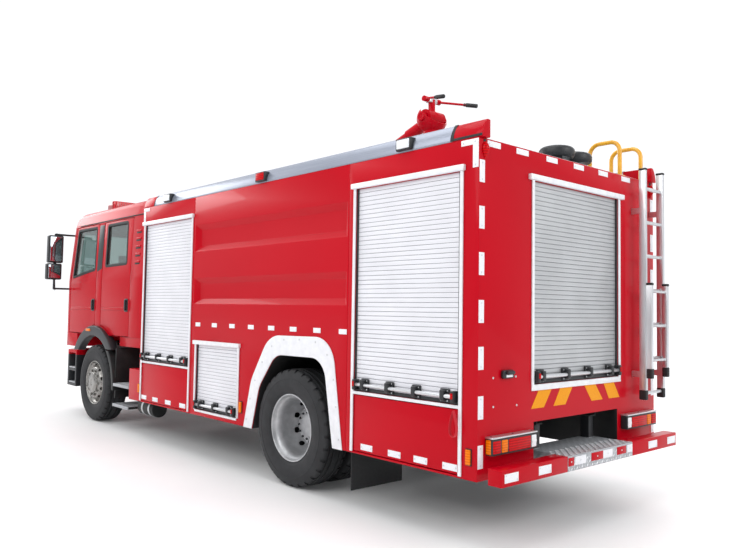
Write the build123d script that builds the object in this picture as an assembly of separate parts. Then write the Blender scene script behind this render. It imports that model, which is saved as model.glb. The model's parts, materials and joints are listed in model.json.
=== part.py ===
"""Airport fire truck: a two-axle, crew-cab water tender with roller-shutter lockers and a roof monitor.

Millimetres. +X points to the front of the truck, +Y to its left, +Z up.
The origin is on the ground, at the middle of the truck's length and width.
"""

import os

from build123d import *

# Overall layout
FRONT_OVERHANG = 1380
REAR_OVERHANG = 2340
BODY_WIDTH = 2500
BODY_BOTTOM = 440
BODY_TOP = 2780
BODY_REAR_OVERHANG = 2138
REAR_LOCKER_LENGTH = 1350
TANK_LENGTH = 2580
FRONT_LOCKER_LENGTH = 1270
BODY_WALL = 40
TUNNEL_HALF_WIDTH = 600
TUNNEL_TOP = 1010
CAB_GAP = 188
CAB_REAR = -1450

WHEELBASE = REAR_LOCKER_LENGTH + TANK_LENGTH + FRONT_LOCKER_LENGTH + CAB_GAP - BODY_REAR_OVERHANG - CAB_REAR
X_REAR_AXLE = (REAR_OVERHANG - FRONT_OVERHANG - WHEELBASE) / 2
X_FRONT_AXLE = X_REAR_AXLE + WHEELBASE
X_BUMPER_FRONT = X_FRONT_AXLE + FRONT_OVERHANG
X_BUMPER_REAR = X_REAR_AXLE - REAR_OVERHANG
X_BODY_REAR = X_REAR_AXLE - BODY_REAR_OVERHANG
X_TANK_REAR = X_BODY_REAR + REAR_LOCKER_LENGTH
X_TANK_FRONT = X_TANK_REAR + TANK_LENGTH
X_BODY_FRONT = X_TANK_FRONT + FRONT_LOCKER_LENGTH
Y_BODY = BODY_WIDTH / 2

# Wheels
TYRE_RADIUS = 522
TYRE_WIDTH = 295
RIM_FLANGE_RADIUS = 300
BEAD_CLEARANCE = 0.3
RIM_WIDTH = 254
RIM_WALL = 14
RIM_DROP = 36
FRONT_WHEEL_Y = 1022
REAR_OUTER_WHEEL_Y = 1098
DUAL_SPACING = 335
HAND_HOLES = 10
HAND_HOLE_RADIUS = 27
HAND_HOLE_CIRCLE = 200
STUD_CIRCLE = 167.5
HUB_RADIUS = 138
DISC_THICKNESS = 14
RUNNING_CLEARANCE = 0.05

# Axles, springs and frame
FRAME_HALF_WIDTH = 425
FRAME_HEIGHT = 250
FRAME_TOP = 980
FRAME_FLANGE = 80
FRAME_WEB = 10
KINGPIN_Y = 905
KINGPIN_RADIUS = 25
SPINDLE_RADIUS = 42
REAR_SPINDLE_RADIUS = 62
SPRING_Y = 430
SPRING_WIDTH = 80
LEAF_THICKNESS = 16

# Cab
CAB_WIDTH = 2260
CAB_FRONT = 1300
CAB_CORNER = 1190
CAB_BOTTOM = 1180
CAB_SILL = 1060
APRON_LOW = 985
APRON_INNER = 560
CAB_ROOF = 2990
CAB_WALL = 60
ROOF_RISE = 230
GUTTER_INSET = 35
SCREEN_RAKE = 0.2
CORNER_ROUND = 125
REAR_ROUND = 110
PLAN_EASE = 14
BROW_SLOPE = 0.58
ROOF_ROUND = 120
DOOR_REAR_BACK = -1010
DOOR_REAR_FRONT = -90
DOOR_FRONT_BACK = 110
DOOR_FRONT_FRONT = 1070
DOOR_FRONT_TOP = 930
DOOR_GAP = 9
DOOR_HINGE_ROUND = 12
GLASS_THICKNESS = 6
GLASS_INSET = 20
ARCH_OFFSET = 20
ARCH_Z = 480
ARCH_RADIUS = 690
FLARE_WIDTH = 135
FLARE_OUT = 60
TILT_PIVOT_X = 1235
TILT_PIVOT_Z = 1010
TILT_PIN_RADIUS = 20
TILT_LUG_RADIUS = 40

CAB_GUTTER = CAB_ROOF - ROOF_RISE
CAB_BELT = CAB_BOTTOM + 0.4873 * (CAB_GUTTER - CAB_BOTTOM)
WINDOW_RISE = CAB_GUTTER - CAB_BELT
DOOR_BOTTOM = CAB_BOTTOM + 10
DOOR_TOP = CAB_GUTTER - 25
WINDOW_TOP = CAB_GUTTER - 0.086 * WINDOW_RISE
WINDOW_BOTTOM = CAB_BELT + 0.222 * WINDOW_RISE
WINDOW_DIP = CAB_BELT + 0.062 * WINDOW_RISE
Y_CAB = CAB_WIDTH / 2
X_CAB_REAR = X_FRONT_AXLE + CAB_REAR
X_CAB_FRONT = X_FRONT_AXLE + CAB_FRONT

# Lockers
SLAT_PITCH = 43.5
SLAT_DEPTH = 9
SHUTTER_THICKNESS = 22
SHUTTER_INSET = 14
FRAME_TRIM = 30
FRAME_PROUD = 12
HEADER_HEIGHT = 42
HEADER_PROUD = 30
SHUTTER_TOP = 2560
SHUTTER_BOTTOM = 935
LOW_SHUTTER_TOP = 1190
LOW_SHUTTER_BOTTOM = 505
REAR_SHUTTER_BOTTOM = 1055
REAR_SHUTTER_HALF = 610
FLAP_THICKNESS = 30
FLAP_TOP = 905
FLAP_DEPTH = 480
LIFT_BAR_RADIUS = 14
LIFT_BAR_RISE = 55
LIFT_BAR_OUT = 36
FLAP_RISE = 16
FLAP_GAP = 8
FLAP_FOOT = BODY_BOTTOM + FLAP_RISE + 6
FLAP_HINGE_ROUND = 10
LOW_BOX_LENGTH = 280
LOW_BOX_TOP = 815
REAR_NOTCH_TOP = 783
SLAT_GROOVE = 6

X_FRONT_OPEN = (X_TANK_FRONT + 55, X_BODY_FRONT - 70)
X_REAR_OPEN = (X_BODY_REAR + 160, X_TANK_REAR - 90)
X_LOW_OPEN = (X_REAR_AXLE + 855, X_TANK_FRONT - 115)
SIDE_SHUTTERS = (
    (X_FRONT_OPEN, SHUTTER_BOTTOM, SHUTTER_TOP),
    (X_LOW_OPEN, LOW_SHUTTER_BOTTOM, LOW_SHUTTER_TOP),
    (X_REAR_OPEN, SHUTTER_BOTTOM, SHUTTER_TOP),
)

# Tank side and wheel openings
BAND_DEPTH = 45
BAND_BEVEL = 60
BAND_MARGIN = 20
BAND_UPPER = (2475, 2180)
BAND_LOWER = (1897, 1615)
ARCH_INNER = [(-627, 430), (-490, 1165), (215, 1160), (470, 850), (585, 430)]
ARCH_INNER_ROUND = [200, 220, 300]
ARCH_OUTER = [(-752, 430), (-600, 1348), (320, 1335), (605, 900), (727, 430)]
ARCH_OUTER_ROUND = [260, 300, 400]
TRIM_THICKNESS = 8

# Roof
RAIL_HEIGHT = 128
RAIL_WIDTH = 90
RAIL_OVERRUN = 28
X_RAIL_REAR = X_BODY_REAR + 246
X_RAIL_FRONT = X_BODY_FRONT - 272
HOOP_HEIGHT = 320
HOOP_RADIUS = 19
LADDER_OUT = 102
LADDER_Y = (392 - Y_BODY, 75 - Y_BODY)
LADDER_STILE = 34
LADDER_LOW = 850
LADDER_HIGH = BODY_TOP + 68
LADDER_FOLD_LOW = LADDER_LOW + 190
LADDER_FOLD_HIGH = LADDER_LOW + 0.4925 * (LADDER_HIGH - LADDER_LOW)
RUNG_PITCH = 295
X_MONITOR = X_REAR_AXLE - 540
MONITOR_TURN_Z = BODY_TOP + 370
MONITOR_TILT_Z = MONITOR_TURN_Z + 290
BOWL_RADIUS = 150
BOWL_WALL = 12
TRUNNION_Y = 110
TRUNNION_PIN = 22
TURN_PIN_RADIUS = 45

# Ends and small parts
BUMPER_BACK = 740
BUMPER_LOW = 400
BUMPER_HIGH = 930
BUMPER_CORNER = 240
REAR_STEP_HALF = 470
REAR_STEP_TOP = 550
CAB_REST_GAP = 6
PIVOT_PLATE_Y = 390
STEP_BACK = 1215
STEP_FRONT = 735
STEP_INNER = Y_CAB - 350
STEP_OUTER = Y_CAB + 60
STEP_HIGH = 575
STEP_LOW = 315
STEP_THICKNESS = 30
AIR_TANK_RADIUS = 100
MIRROR_OUT = 325
MIRROR_WIDTH = 215
MIRROR_TOP = CAB_GUTTER - 135
MIRROR_MIDDLE = CAB_BELT + 260
MIRROR_LOW = CAB_BELT + 15
VISOR_HALF = Y_CAB - 150
LIGHT_BAR_X = 600
LIGHT_BAR_HALF = Y_CAB - 370
LIGHT_BAR_HEIGHT = 135
SEAT_HEIGHT = 420
SEAT_BACK = 1080
SEAT_DEPTH = 440
SCREEN_HALF = 1010
SCREEN_BOTTOM = CAB_BELT + 0.086 * WINDOW_RISE
SCREEN_TOP = WINDOW_TOP
FRONT_DOOR = (DOOR_FRONT_BACK, DOOR_FRONT_FRONT, DOOR_FRONT_TOP)
REAR_DOOR = (DOOR_REAR_BACK, DOOR_REAR_FRONT, DOOR_REAR_FRONT)
FRONT_WINDOW = ((170, WINDOW_BOTTOM - 30), (540, WINDOW_DIP + 60), (985, WINDOW_DIP), (880, WINDOW_TOP), (200, WINDOW_TOP))
REAR_WINDOW = ((-880, WINDOW_BOTTOM + 15), (-200, WINDOW_BOTTOM), (-200, WINDOW_TOP), (-840, WINDOW_TOP))


def block(x0, x1, y0, y1, z0, z1):
    """A box between two corners."""
    return Pos((x0 + x1) / 2, (y0 + y1) / 2, (z0 + z1) / 2) * Box(abs(x1 - x0), abs(y1 - y0), abs(z1 - z0))


def prism_y(points, y0, y1):
    """An outline in the XZ plane, extruded across the truck from y0 to y1."""
    outline = make_face(Polyline(*[(x, y0, z) for x, z in points], close=True))
    return extrude(outline, amount=y1 - y0, dir=(0, 1, 0))


def prism_x(points, x0, x1):
    """An outline in the YZ plane, extruded along the truck from x0 to x1."""
    outline = make_face(Polyline(*[(x0, y, z) for y, z in points], close=True))
    return extrude(outline, amount=x1 - x0, dir=(1, 0, 0))


def rod(start, end, radius):
    """A round bar between two points."""
    a, b = Vector(*start), Vector(*end)
    return extrude(Plane(a, z_dir=b - a) * Circle(radius), amount=(b - a).length)


def tube_path(points, radius, bend):
    """A round bar bent along straight runs with arcs of one radius at the corners."""
    path = FilletPolyline(*points, radius=bend)
    section = Plane(path @ 0, z_dir=path % 0) * Circle(radius)
    return sweep(section, path=path)


def disc_y(x, z, radius, y0, y1):
    """A cylinder along Y."""
    return rod((x, y0, z), (x, y1, z), radius)


def spin_y(profile, x, y, z):
    """A ring from an outline of (radius, offset along Y), turned about the Y axis through a point."""
    outline = make_face(Polyline(*[(r, o, 0) for r, o in profile], close=True))
    return Pos(x, y, z) * revolve(outline, axis=Axis.Y)


def both_sides(shape):
    """The shape and its mirror image on the other side of the truck."""
    return [shape, mirror(shape, about=Plane.XZ)]


def save(name, *shapes):
    """Writes one node, made of one solid or of several that don't touch."""
    solids = [solid for shape in shapes for solid in shape.solids()]
    export_step(solids[0] if len(solids) == 1 else Compound(children=solids), f"parts/{name}.step")


# Wheels


def tyre(y):
    """A tubeless truck tyre with its axis along Y, centred on y."""
    half = TYRE_WIDTH / 2
    bead = RIM_FLANGE_RADIUS + BEAD_CLEARANCE
    middle = (bead + TYRE_RADIUS) / 2
    side = [(bead, half - 26), (middle, half), (TYRE_RADIUS, half - 26)]
    return spin_y(side + [(r, -o) for r, o in reversed(side)], 0, y, 0)


def rim_ring(y):
    """The rim that a tyre sits on, dropped in the middle."""
    half = RIM_WIDTH / 2
    inner = RIM_FLANGE_RADIUS - RIM_WALL
    outside = [(RIM_FLANGE_RADIUS, -half), (RIM_FLANGE_RADIUS, half)]
    inside = [(inner, half), (inner - RIM_DROP, half - 80), (inner - RIM_DROP, 80 - half), (inner, -half)]
    return spin_y(outside + inside, 0, y, 0)


def hand_holes(y0, y1, phase=0):
    """Round ventilation holes through a wheel disc."""
    return [
        Rot(0, phase + 360 / HAND_HOLES * n, 0) * disc_y(HAND_HOLE_CIRCLE, 0, HAND_HOLE_RADIUS, y0, y1)
        for n in range(HAND_HOLES)
    ]


def wheel_disc(y_rim, y_face):
    """The dished disc between the rim's well and the flat ring that the wheel nuts clamp."""
    well = RIM_FLANGE_RADIUS - RIM_WALL - RIM_DROP + 2
    step = DISC_THICKNESS
    lean = step if y_face > y_rim else -step
    profile = [
        (well, y_rim),
        (STUD_CIRCLE + 28, y_face),
        (HUB_RADIUS, y_face),
        (HUB_RADIUS, y_face - lean),
        (STUD_CIRCLE + 24, y_face - lean),
        (well, y_rim - lean),
    ]
    disc = spin_y(profile, 0, 0, 0)
    low, high = sorted((y_rim, y_face))
    return disc - hand_holes(low - 60, high + 60)


def hub(y0, y1, bore_radius, bore_end):
    """The wheel hub, with a blind bore that runs on the axle's spindle."""
    body = disc_y(0, 0, HUB_RADIUS, y0, y1)
    return body - disc_y(0, 0, bore_radius + RUNNING_CLEARANCE, y0 - 1, bore_end)


def front_wheels():
    """Single front wheels, with the disc bulging outwards."""
    y = FRONT_WHEEL_Y
    face = y + RIM_WIDTH / 2 + 6
    metal = rim_ring(y) + wheel_disc(y + 40, face)
    metal += hub(y - 30, face + 28, SPINDLE_RADIUS, y + 60)
    at = Pos(X_FRONT_AXLE, 0, TYRE_RADIUS)
    for side, rubber, steel in (("left", tyre(y), metal), ("right", mirror(tyre(y), Plane.XZ), mirror(metal, Plane.XZ))):
        save(f"tyre_front_{side}", at * rubber)
        save(f"rim_front_{side}", at * steel)


def rear_wheels():
    """Twin rear wheels: the outer wheel is dished inwards to the same flange as the inner one."""
    outer = REAR_OUTER_WHEEL_Y
    inner = outer - DUAL_SPACING
    flange = (outer + inner) / 2
    metal = rim_ring(outer) + rim_ring(inner)
    metal += wheel_disc(outer - 40, flange + DISC_THICKNESS)
    metal += wheel_disc(inner + 40, flange - DISC_THICKNESS)
    metal += hub(flange - 150, flange + 110, REAR_SPINDLE_RADIUS, flange + 40)
    rubber = [tyre(outer), tyre(inner)]
    at = Pos(X_REAR_AXLE, 0, TYRE_RADIUS)
    save("tyres_rear_left", *[at * t for t in rubber])
    save("rims_rear_left", at * metal)
    save("tyres_rear_right", *[at * mirror(t, Plane.XZ) for t in rubber])
    save("rims_rear_right", at * mirror(metal, Plane.XZ))


# Chassis


def frame_rails():
    """Two C-section side rails joined by cross members, with the cab's pivot plates and rear rests."""
    x0, x1 = X_BODY_REAR + 100, X_FRONT_AXLE + 1020
    z0 = FRAME_TOP - FRAME_HEIGHT
    outer, inner = FRAME_HALF_WIDTH, FRAME_HALF_WIDTH - FRAME_FLANGE
    section = [
        (outer, z0), (outer, FRAME_TOP), (inner, FRAME_TOP), (inner, FRAME_TOP - FRAME_WEB),
        (outer - FRAME_WEB, FRAME_TOP - FRAME_WEB), (outer - FRAME_WEB, z0 + FRAME_WEB),
        (inner, z0 + FRAME_WEB), (inner, z0),
    ]
    rail = prism_x(section, x0, x1)
    pivot = X_FRONT_AXLE + TILT_PIVOT_X
    plate = block(x1 - 60, pivot, PIVOT_PLATE_Y, outer, FRAME_TOP - 35, TILT_PIVOT_Z + TILT_LUG_RADIUS)
    plate += disc_y(pivot, TILT_PIVOT_Z, TILT_LUG_RADIUS, PIVOT_PLATE_Y, outer)
    plate -= disc_y(pivot, TILT_PIVOT_Z, TILT_PIN_RADIUS + RUNNING_CLEARANCE, PIVOT_PLATE_Y - 1, outer + 1)
    rest = block(X_CAB_REAR + 90, X_CAB_REAR + 190, inner, outer, FRAME_TOP, CAB_BOTTOM - CAB_REST_GAP)
    rail = rail + plate + rest
    frame = rail + mirror(rail, Plane.XZ)
    web = outer - FRAME_WEB
    for x in (x0 + 60, X_REAR_AXLE - 900, X_REAR_AXLE + 900, X_REAR_AXLE + 2300, X_FRONT_AXLE - 1100, x1 - 60):
        frame += block(x - 45, x + 45, -web, web, z0 + 40, FRAME_TOP - 40)
    return frame


def front_axle():
    """A dropped forged beam with a bored eye for the kingpin at each end."""
    z = TYRE_RADIUS
    beam = prism_x(
        [(0, z - 130), (0, z - 30), (480, z - 30), (640, z + 30), (KINGPIN_Y, z + 45), (KINGPIN_Y, z - 55),
         (660, z - 70), (500, z - 130)],
        X_FRONT_AXLE - 45, X_FRONT_AXLE + 45,
    )
    eye = Pos(X_FRONT_AXLE, KINGPIN_Y, z) * Cylinder(52, 150)
    bore = Pos(X_FRONT_AXLE, KINGPIN_Y, z) * Cylinder(KINGPIN_RADIUS + RUNNING_CLEARANCE, 400)
    half = beam + eye - bore
    return half + mirror(half, Plane.XZ)


def knuckle():
    """The left steering knuckle: a fork with its kingpin, and the spindle that the hub runs on."""
    z, x = TYRE_RADIUS, X_FRONT_AXLE
    fork = Pos(x, KINGPIN_Y, z) * Cylinder(KINGPIN_RADIUS, 260)
    for side in (-1, 1):
        fork += Pos(x, KINGPIN_Y, z + side * 105) * Cylinder(50, 45)
        fork += block(x - 50, x + 50, KINGPIN_Y, KINGPIN_Y + 82, z + side * 82.5, z + side * 127.5)
    fork += block(x - 50, x + 50, KINGPIN_Y + 60, KINGPIN_Y + 82, z - 127.5, z + 127.5)
    return fork + disc_y(x, z, SPINDLE_RADIUS, KINGPIN_Y + 70, FRONT_WHEEL_Y + 55)


def rear_axle():
    """A banjo housing with the differential bulge, its tubes, nose and spindles."""
    z, x = TYRE_RADIUS, X_REAR_AXLE
    flange = REAR_OUTER_WHEEL_Y - DUAL_SPACING / 2
    housing = disc_y(x, z, 75, 160 - flange, flange - 160)
    housing += disc_y(x, z, 205, -120, 120)
    housing += rod((x, 0, z + 30), (x + 300, 0, z + 30), 80)
    return housing + disc_y(x, z, REAR_SPINDLE_RADIUS, -flange - 30, flange + 30)


def leaf_pack(x, z, span, count):
    """One semi-elliptic spring of stacked leaves, shorter towards the axle."""
    pack = None
    for n in range(count):
        half = span / 2 * (1 - 0.75 * n / count)
        leaf = block(x - half, x + half, SPRING_Y - SPRING_WIDTH / 2, SPRING_Y + SPRING_WIDTH / 2,
                     z - (n + 1) * LEAF_THICKNESS, z - n * LEAF_THICKNESS)
        pack = leaf if pack is None else pack + leaf
    return pack


def leaf_springs():
    """Front and rear springs, seated on the axles and hung below the frame."""
    frame_bottom = FRAME_TOP - FRAME_HEIGHT
    hanger = 60
    springs = []
    for x, span, count, seat in (
        (X_FRONT_AXLE, 1500, 4, TYRE_RADIUS - 30),
        (X_REAR_AXLE, 1400, 5, TYRE_RADIUS + 75),
    ):
        top = seat + count * LEAF_THICKNESS
        pack = leaf_pack(x, top, span, count)
        for end in (-1, 1):
            xe = x + end * (span / 2 - hanger)
            pack += block(xe - hanger / 2, xe + hanger / 2, SPRING_Y - 30, SPRING_Y + 30, top, frame_bottom)
        springs += both_sides(pack)
    return springs


def engine():
    """The engine and gearbox as one plain block between the frame rails."""
    inner = FRAME_HALF_WIDTH - FRAME_FLANGE - 5
    power = block(X_FRONT_AXLE - 520, X_FRONT_AXLE + 620, -inner, inner, 640, CAB_BOTTOM - 60)
    power += block(X_FRONT_AXLE - 930, X_FRONT_AXLE - 520, -220, 220, 640, 960)
    for x in (X_FRONT_AXLE - 400, X_FRONT_AXLE + 400):
        power += block(x - 60, x + 60, 5 - FRAME_HALF_WIDTH, FRAME_HALF_WIDTH - 5, FRAME_TOP, FRAME_TOP + 40)
    return power


def propeller_shaft():
    """The shaft from the gearbox to the rear axle, with a flange at each end."""
    front, rear = X_FRONT_AXLE - 930, X_REAR_AXLE + 300
    high, low = 690, TYRE_RADIUS + 30
    shaft = rod((front - 20, 0, high), (rear + 20, 0, low), 42)
    shaft += rod((front - 30, 0, high), (front, 0, high), 50)
    return shaft + rod((rear, 0, low), (rear + 30, 0, low), 50)


def bumper_plan(z, trim):
    """The bumper's outline seen from above, drawn in by trim."""
    x0 = X_FRONT_AXLE + BUMPER_BACK
    y, nose, corner = Y_CAB - trim, X_BUMPER_FRONT - trim, BUMPER_CORNER
    points = [(x0, -y, z), (nose - 60 - corner, -y, z), (nose - 60, -y + corner, z)]
    left = [(px, -py, pz) for px, py, pz in reversed(points)]
    edges = Polyline(*points).edges() + [ThreePointArc(points[-1], (nose, 0, z), left[0])]
    edges += Polyline(*left).edges() + [Line(left[-1], points[0])]
    return make_face(edges)


def front_bumper():
    """A deep wrap-round bumper, hollow behind, with pockets for the lamps."""
    outer = extrude(bumper_plan(BUMPER_LOW, 0), amount=BUMPER_HIGH - BUMPER_LOW, dir=(0, 0, 1))
    x0 = X_FRONT_AXLE + BUMPER_BACK
    hollow = block(x0 - 1, X_BUMPER_FRONT - 200, 130 - Y_CAB, Y_CAB - 130, BUMPER_LOW - 1, BUMPER_HIGH + 1)
    arm = block(X_FRONT_AXLE + 1020, X_BUMPER_FRONT - 200, 350, 420, FRAME_TOP - 240, FRAME_TOP - 165)
    bumper = outer - hollow + both_sides(arm)
    for z0, z1 in ((BUMPER_LOW + 40, BUMPER_LOW + 220), (BUMPER_LOW + 255, BUMPER_HIGH - 45)):
        bumper -= both_sides(block(x0 + 45, x0 + 290, Y_CAB - 105, Y_CAB + 1, z0, z1))
    return bumper - headlamps()


def headlamps():
    """Lamp units let into the bumper's front corners."""
    lamp = block(X_BUMPER_FRONT - 150, X_BUMPER_FRONT, 560, 900, 640, 790)
    lamp &= extrude(bumper_plan(BUMPER_LOW, 4), amount=BUMPER_HIGH - BUMPER_LOW, dir=(0, 0, 1))
    return both_sides(lamp)


def rear_bumper():
    """Folded bumper ends on both sides of the step."""
    end = block(X_BUMPER_REAR, X_BUMPER_REAR + 115, REAR_STEP_HALF, Y_BODY - 5, REAR_STEP_TOP - 112, REAR_STEP_TOP)
    return both_sides(end)


def rear_step():
    """The chequer-plate step between the bumper ends, hung from the frame by two arms."""
    front = X_BODY_REAR + 220
    plate = block(X_BUMPER_REAR, front, -REAR_STEP_HALF, REAR_STEP_HALF, REAR_STEP_TOP - 112, REAR_STEP_TOP)
    plate -= block(X_BUMPER_REAR + 8, front + 1, 8 - REAR_STEP_HALF, REAR_STEP_HALF - 8,
                   REAR_STEP_TOP - 113, REAR_STEP_TOP - 8)
    arm = block(front - 100, front - 20, FRAME_HALF_WIDTH - 75, FRAME_HALF_WIDTH - 5, REAR_STEP_TOP,
                FRAME_TOP - FRAME_HEIGHT)
    return plate + both_sides(arm)


def rear_lamps():
    """Rear lamp clusters on the body's back wall."""
    return both_sides(block(X_BODY_REAR - 68, X_BODY_REAR, 650, 1165, 607, 735))


def cab_steps():
    """Treads and a guard behind each front wheel on a bracket from the frame, and an air tank under the body."""
    x0, x1 = X_FRONT_AXLE - STEP_BACK, X_FRONT_AXLE - STEP_FRONT
    side = block(x0 + 40, x1 - 40, STEP_INNER - 60, STEP_INNER, STEP_LOW - STEP_THICKNESS, FRAME_TOP - 80)
    for z in (STEP_HIGH, STEP_LOW):
        side += block(x0, x1, STEP_INNER, STEP_OUTER, z - STEP_THICKNESS, z)
    side += block(x0 + 200, x0 + 280, FRAME_HALF_WIDTH, STEP_INNER - 60, FRAME_TOP - 180, FRAME_TOP - 100)
    side += block(x1 + 20, x1 + 45, STEP_INNER - 20, Y_CAB + 20, STEP_LOW + 65, CAB_SILL - 30)
    side += block(x1 - 40, x1 + 20, STEP_INNER - 20, STEP_INNER + 20, FRAME_TOP - 260, FRAME_TOP - 220)
    x, y = X_FRONT_AXLE + ARCH_OFFSET, Y_CAB - 50
    lip = disc_y(x, ARCH_Z, ARCH_RADIUS + 60, y, Y_CAB + FLARE_OUT) - disc_y(x, ARCH_Z, ARCH_RADIUS, y - 1, Y_BODY)
    side += lip & block(x - 900, x - 300, y, Y_CAB + FLARE_OUT, ARCH_Z, CAB_SILL - 75)
    z = BODY_BOTTOM - AIR_TANK_RADIUS - 10
    tank = rod((X_BODY_FRONT - 60, Y_BODY - 250, z), (X_BODY_FRONT + 350, Y_BODY - 250, z), AIR_TANK_RADIUS)
    for x in (X_BODY_FRONT + 40, X_BODY_FRONT + 220):
        tank += block(x - 25, x + 25, Y_BODY - 290, Y_BODY - 210, z, BODY_BOTTOM)
    return both_sides(side) + both_sides(tank)


def mud_flaps():
    """Hanging flaps behind the twin wheels, on the locker's front face."""
    x = X_TANK_REAR
    return both_sides(block(x - 20, x - 12, TUNNEL_HALF_WIDTH + 20, Y_BODY - 50, 120, BODY_BOTTOM))


# Body


def body_section(x0, x1):
    """The body's full cross-section over the chassis tunnel."""
    outer = block(x0, x1, -Y_BODY, Y_BODY, BODY_BOTTOM, BODY_TOP)
    return outer - block(x0 - 1, x1 + 1, -TUNNEL_HALF_WIDTH, TUNNEL_HALF_WIDTH, BODY_BOTTOM - 1, TUNNEL_TOP)


def locker(x0, x1, open0, open1):
    """One locker module: a hall from side to side, with a pocket behind each folding step below it."""
    floor = TUNNEL_TOP + BODY_WALL
    module = body_section(x0, x1)
    module -= block(open0, open1, -Y_BODY - 1, Y_BODY + 1, floor, SHUTTER_TOP)
    module -= block(open0, open1, BODY_WALL - Y_BODY, Y_BODY - BODY_WALL, floor, BODY_TOP - BODY_WALL)
    for side in (-1, 1):
        edge, deep = side * (Y_BODY + 1), side * (TUNNEL_HALF_WIDTH + BODY_WALL)
        module -= block(open0, open1, deep, edge, SHUTTER_BOTTOM, floor)
        module -= block(open0, open1, deep, edge, BODY_BOTTOM + FLAP_RISE, FLAP_TOP + FLAP_GAP)
    return module


def front_locker():
    """The locker behind the cab, with a low box that runs on under the cab's tail."""
    module = locker(X_TANK_FRONT, X_BODY_FRONT, X_FRONT_OPEN[0], X_FRONT_OPEN[1])
    box = block(X_BODY_FRONT, X_BODY_FRONT + LOW_BOX_LENGTH, TUNNEL_HALF_WIDTH + 50, Y_BODY, BODY_BOTTOM, LOW_BOX_TOP)
    return module + both_sides(box)


def rear_locker():
    """The pump room at the back, with its own opening in the rear wall."""
    module = locker(X_BODY_REAR, X_TANK_REAR, X_REAR_OPEN[0], X_REAR_OPEN[1])
    module += block(X_BODY_REAR, X_BODY_REAR + BODY_WALL, -TUNNEL_HALF_WIDTH, TUNNEL_HALF_WIDTH, REAR_NOTCH_TOP, TUNNEL_TOP)
    module -= block(X_BODY_REAR - 1, X_REAR_OPEN[0] + 1, -REAR_SHUTTER_HALF, REAR_SHUTTER_HALF,
                    REAR_SHUTTER_BOTTOM, SHUTTER_TOP)
    return module


def pressed_band(top, bottom):
    """A pressing in the tank's side panel, bevelled on all four sides."""
    lip, deep = Y_BODY + 1, Y_BODY - BAND_DEPTH
    run = BAND_BEVEL
    across = prism_x([(lip, top), (deep, top - run), (deep, bottom + run), (lip, bottom)], X_TANK_REAR, X_TANK_FRONT)
    x0, x1 = X_TANK_REAR + BAND_MARGIN, X_TANK_FRONT - BAND_MARGIN
    plan = make_face(Polyline((x0, lip, bottom), (x0 + run, deep, bottom), (x1 - run, deep, bottom),
                              (x1, lip, bottom), close=True))
    return across & extrude(plan, amount=top - bottom, dir=(0, 0, 1))


def water_tank():
    """The tank between the lockers: pressed sides, wheel wells and a low locker ahead of the rear wheels."""
    tank = body_section(X_TANK_REAR, X_TANK_FRONT)
    well = arch_prism(ARCH_INNER, ARCH_INNER_ROUND, TUNNEL_HALF_WIDTH - 60, Y_BODY + 1)
    low = block(X_LOW_OPEN[0], X_LOW_OPEN[1], TUNNEL_HALF_WIDTH + BODY_WALL, Y_BODY + 1, LOW_SHUTTER_BOTTOM, LOW_SHUTTER_TOP)
    for cut in (well, low, pressed_band(*BAND_UPPER), pressed_band(*BAND_LOWER)):
        tank -= both_sides(cut)
    return tank


def arch_prism(corners, rounds, y0, y1):
    """A wheel opening's outline about the rear axle with rounded shoulders, extruded from y0 to y1."""
    solid = prism_y([(X_REAR_AXLE + x, z) for x, z in corners], y0, y1)
    for (x, z), radius in zip(corners[1:-1], rounds):
        edge = solid.edges().filter_by(Axis.Y).sort_by_distance((X_REAR_AXLE + x, (y0 + y1) / 2, z))[0]
        solid = fillet(edge, radius)
    return solid


def arch_trims():
    """Broad trim plates round the rear wheel openings."""
    y0, y1 = Y_BODY, Y_BODY + TRIM_THICKNESS
    plate = arch_prism(ARCH_OUTER, ARCH_OUTER_ROUND, y0, y1)
    plate -= arch_prism(ARCH_INNER, ARCH_INNER_ROUND, y0 - 1, y1 + 1)
    plate -= block(X_BODY_REAR, X_BODY_FRONT, y0 - 1, y1 + 1, 0, BODY_BOTTOM)
    return both_sides(plate)


def rail_section(x0, x1):
    """The rounded fascia along the roof's edge, from x0 to x1, on the left."""
    y, z = Y_BODY, BODY_TOP
    crest, back = y - RAIL_WIDTH * 0.6, y - RAIL_WIDTH
    bow = ThreePointArc((x0, y, z), (x0, y - RAIL_WIDTH * 0.157, z + RAIL_HEIGHT * 0.543), (x0, crest, z + RAIL_HEIGHT))
    rest = Polyline((x0, crest, z + RAIL_HEIGHT), (x0, back, z + RAIL_HEIGHT), (x0, back, z), (x0, y, z))
    return extrude(make_face([bow] + rest.edges()), amount=x1 - x0, dir=(1, 0, 0))


def roof_rails():
    """Bright fascias along both roof edges."""
    return both_sides(rail_section(X_RAIL_REAR, X_RAIL_FRONT))


def rail_ends():
    """Painted rail ends at the front and lamp-like ends at the back."""
    rear = rail_section(X_BODY_REAR - RAIL_OVERRUN, X_RAIL_REAR)
    front = rail_section(X_RAIL_FRONT, X_BODY_FRONT)
    return both_sides(rear) + both_sides(front)


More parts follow.
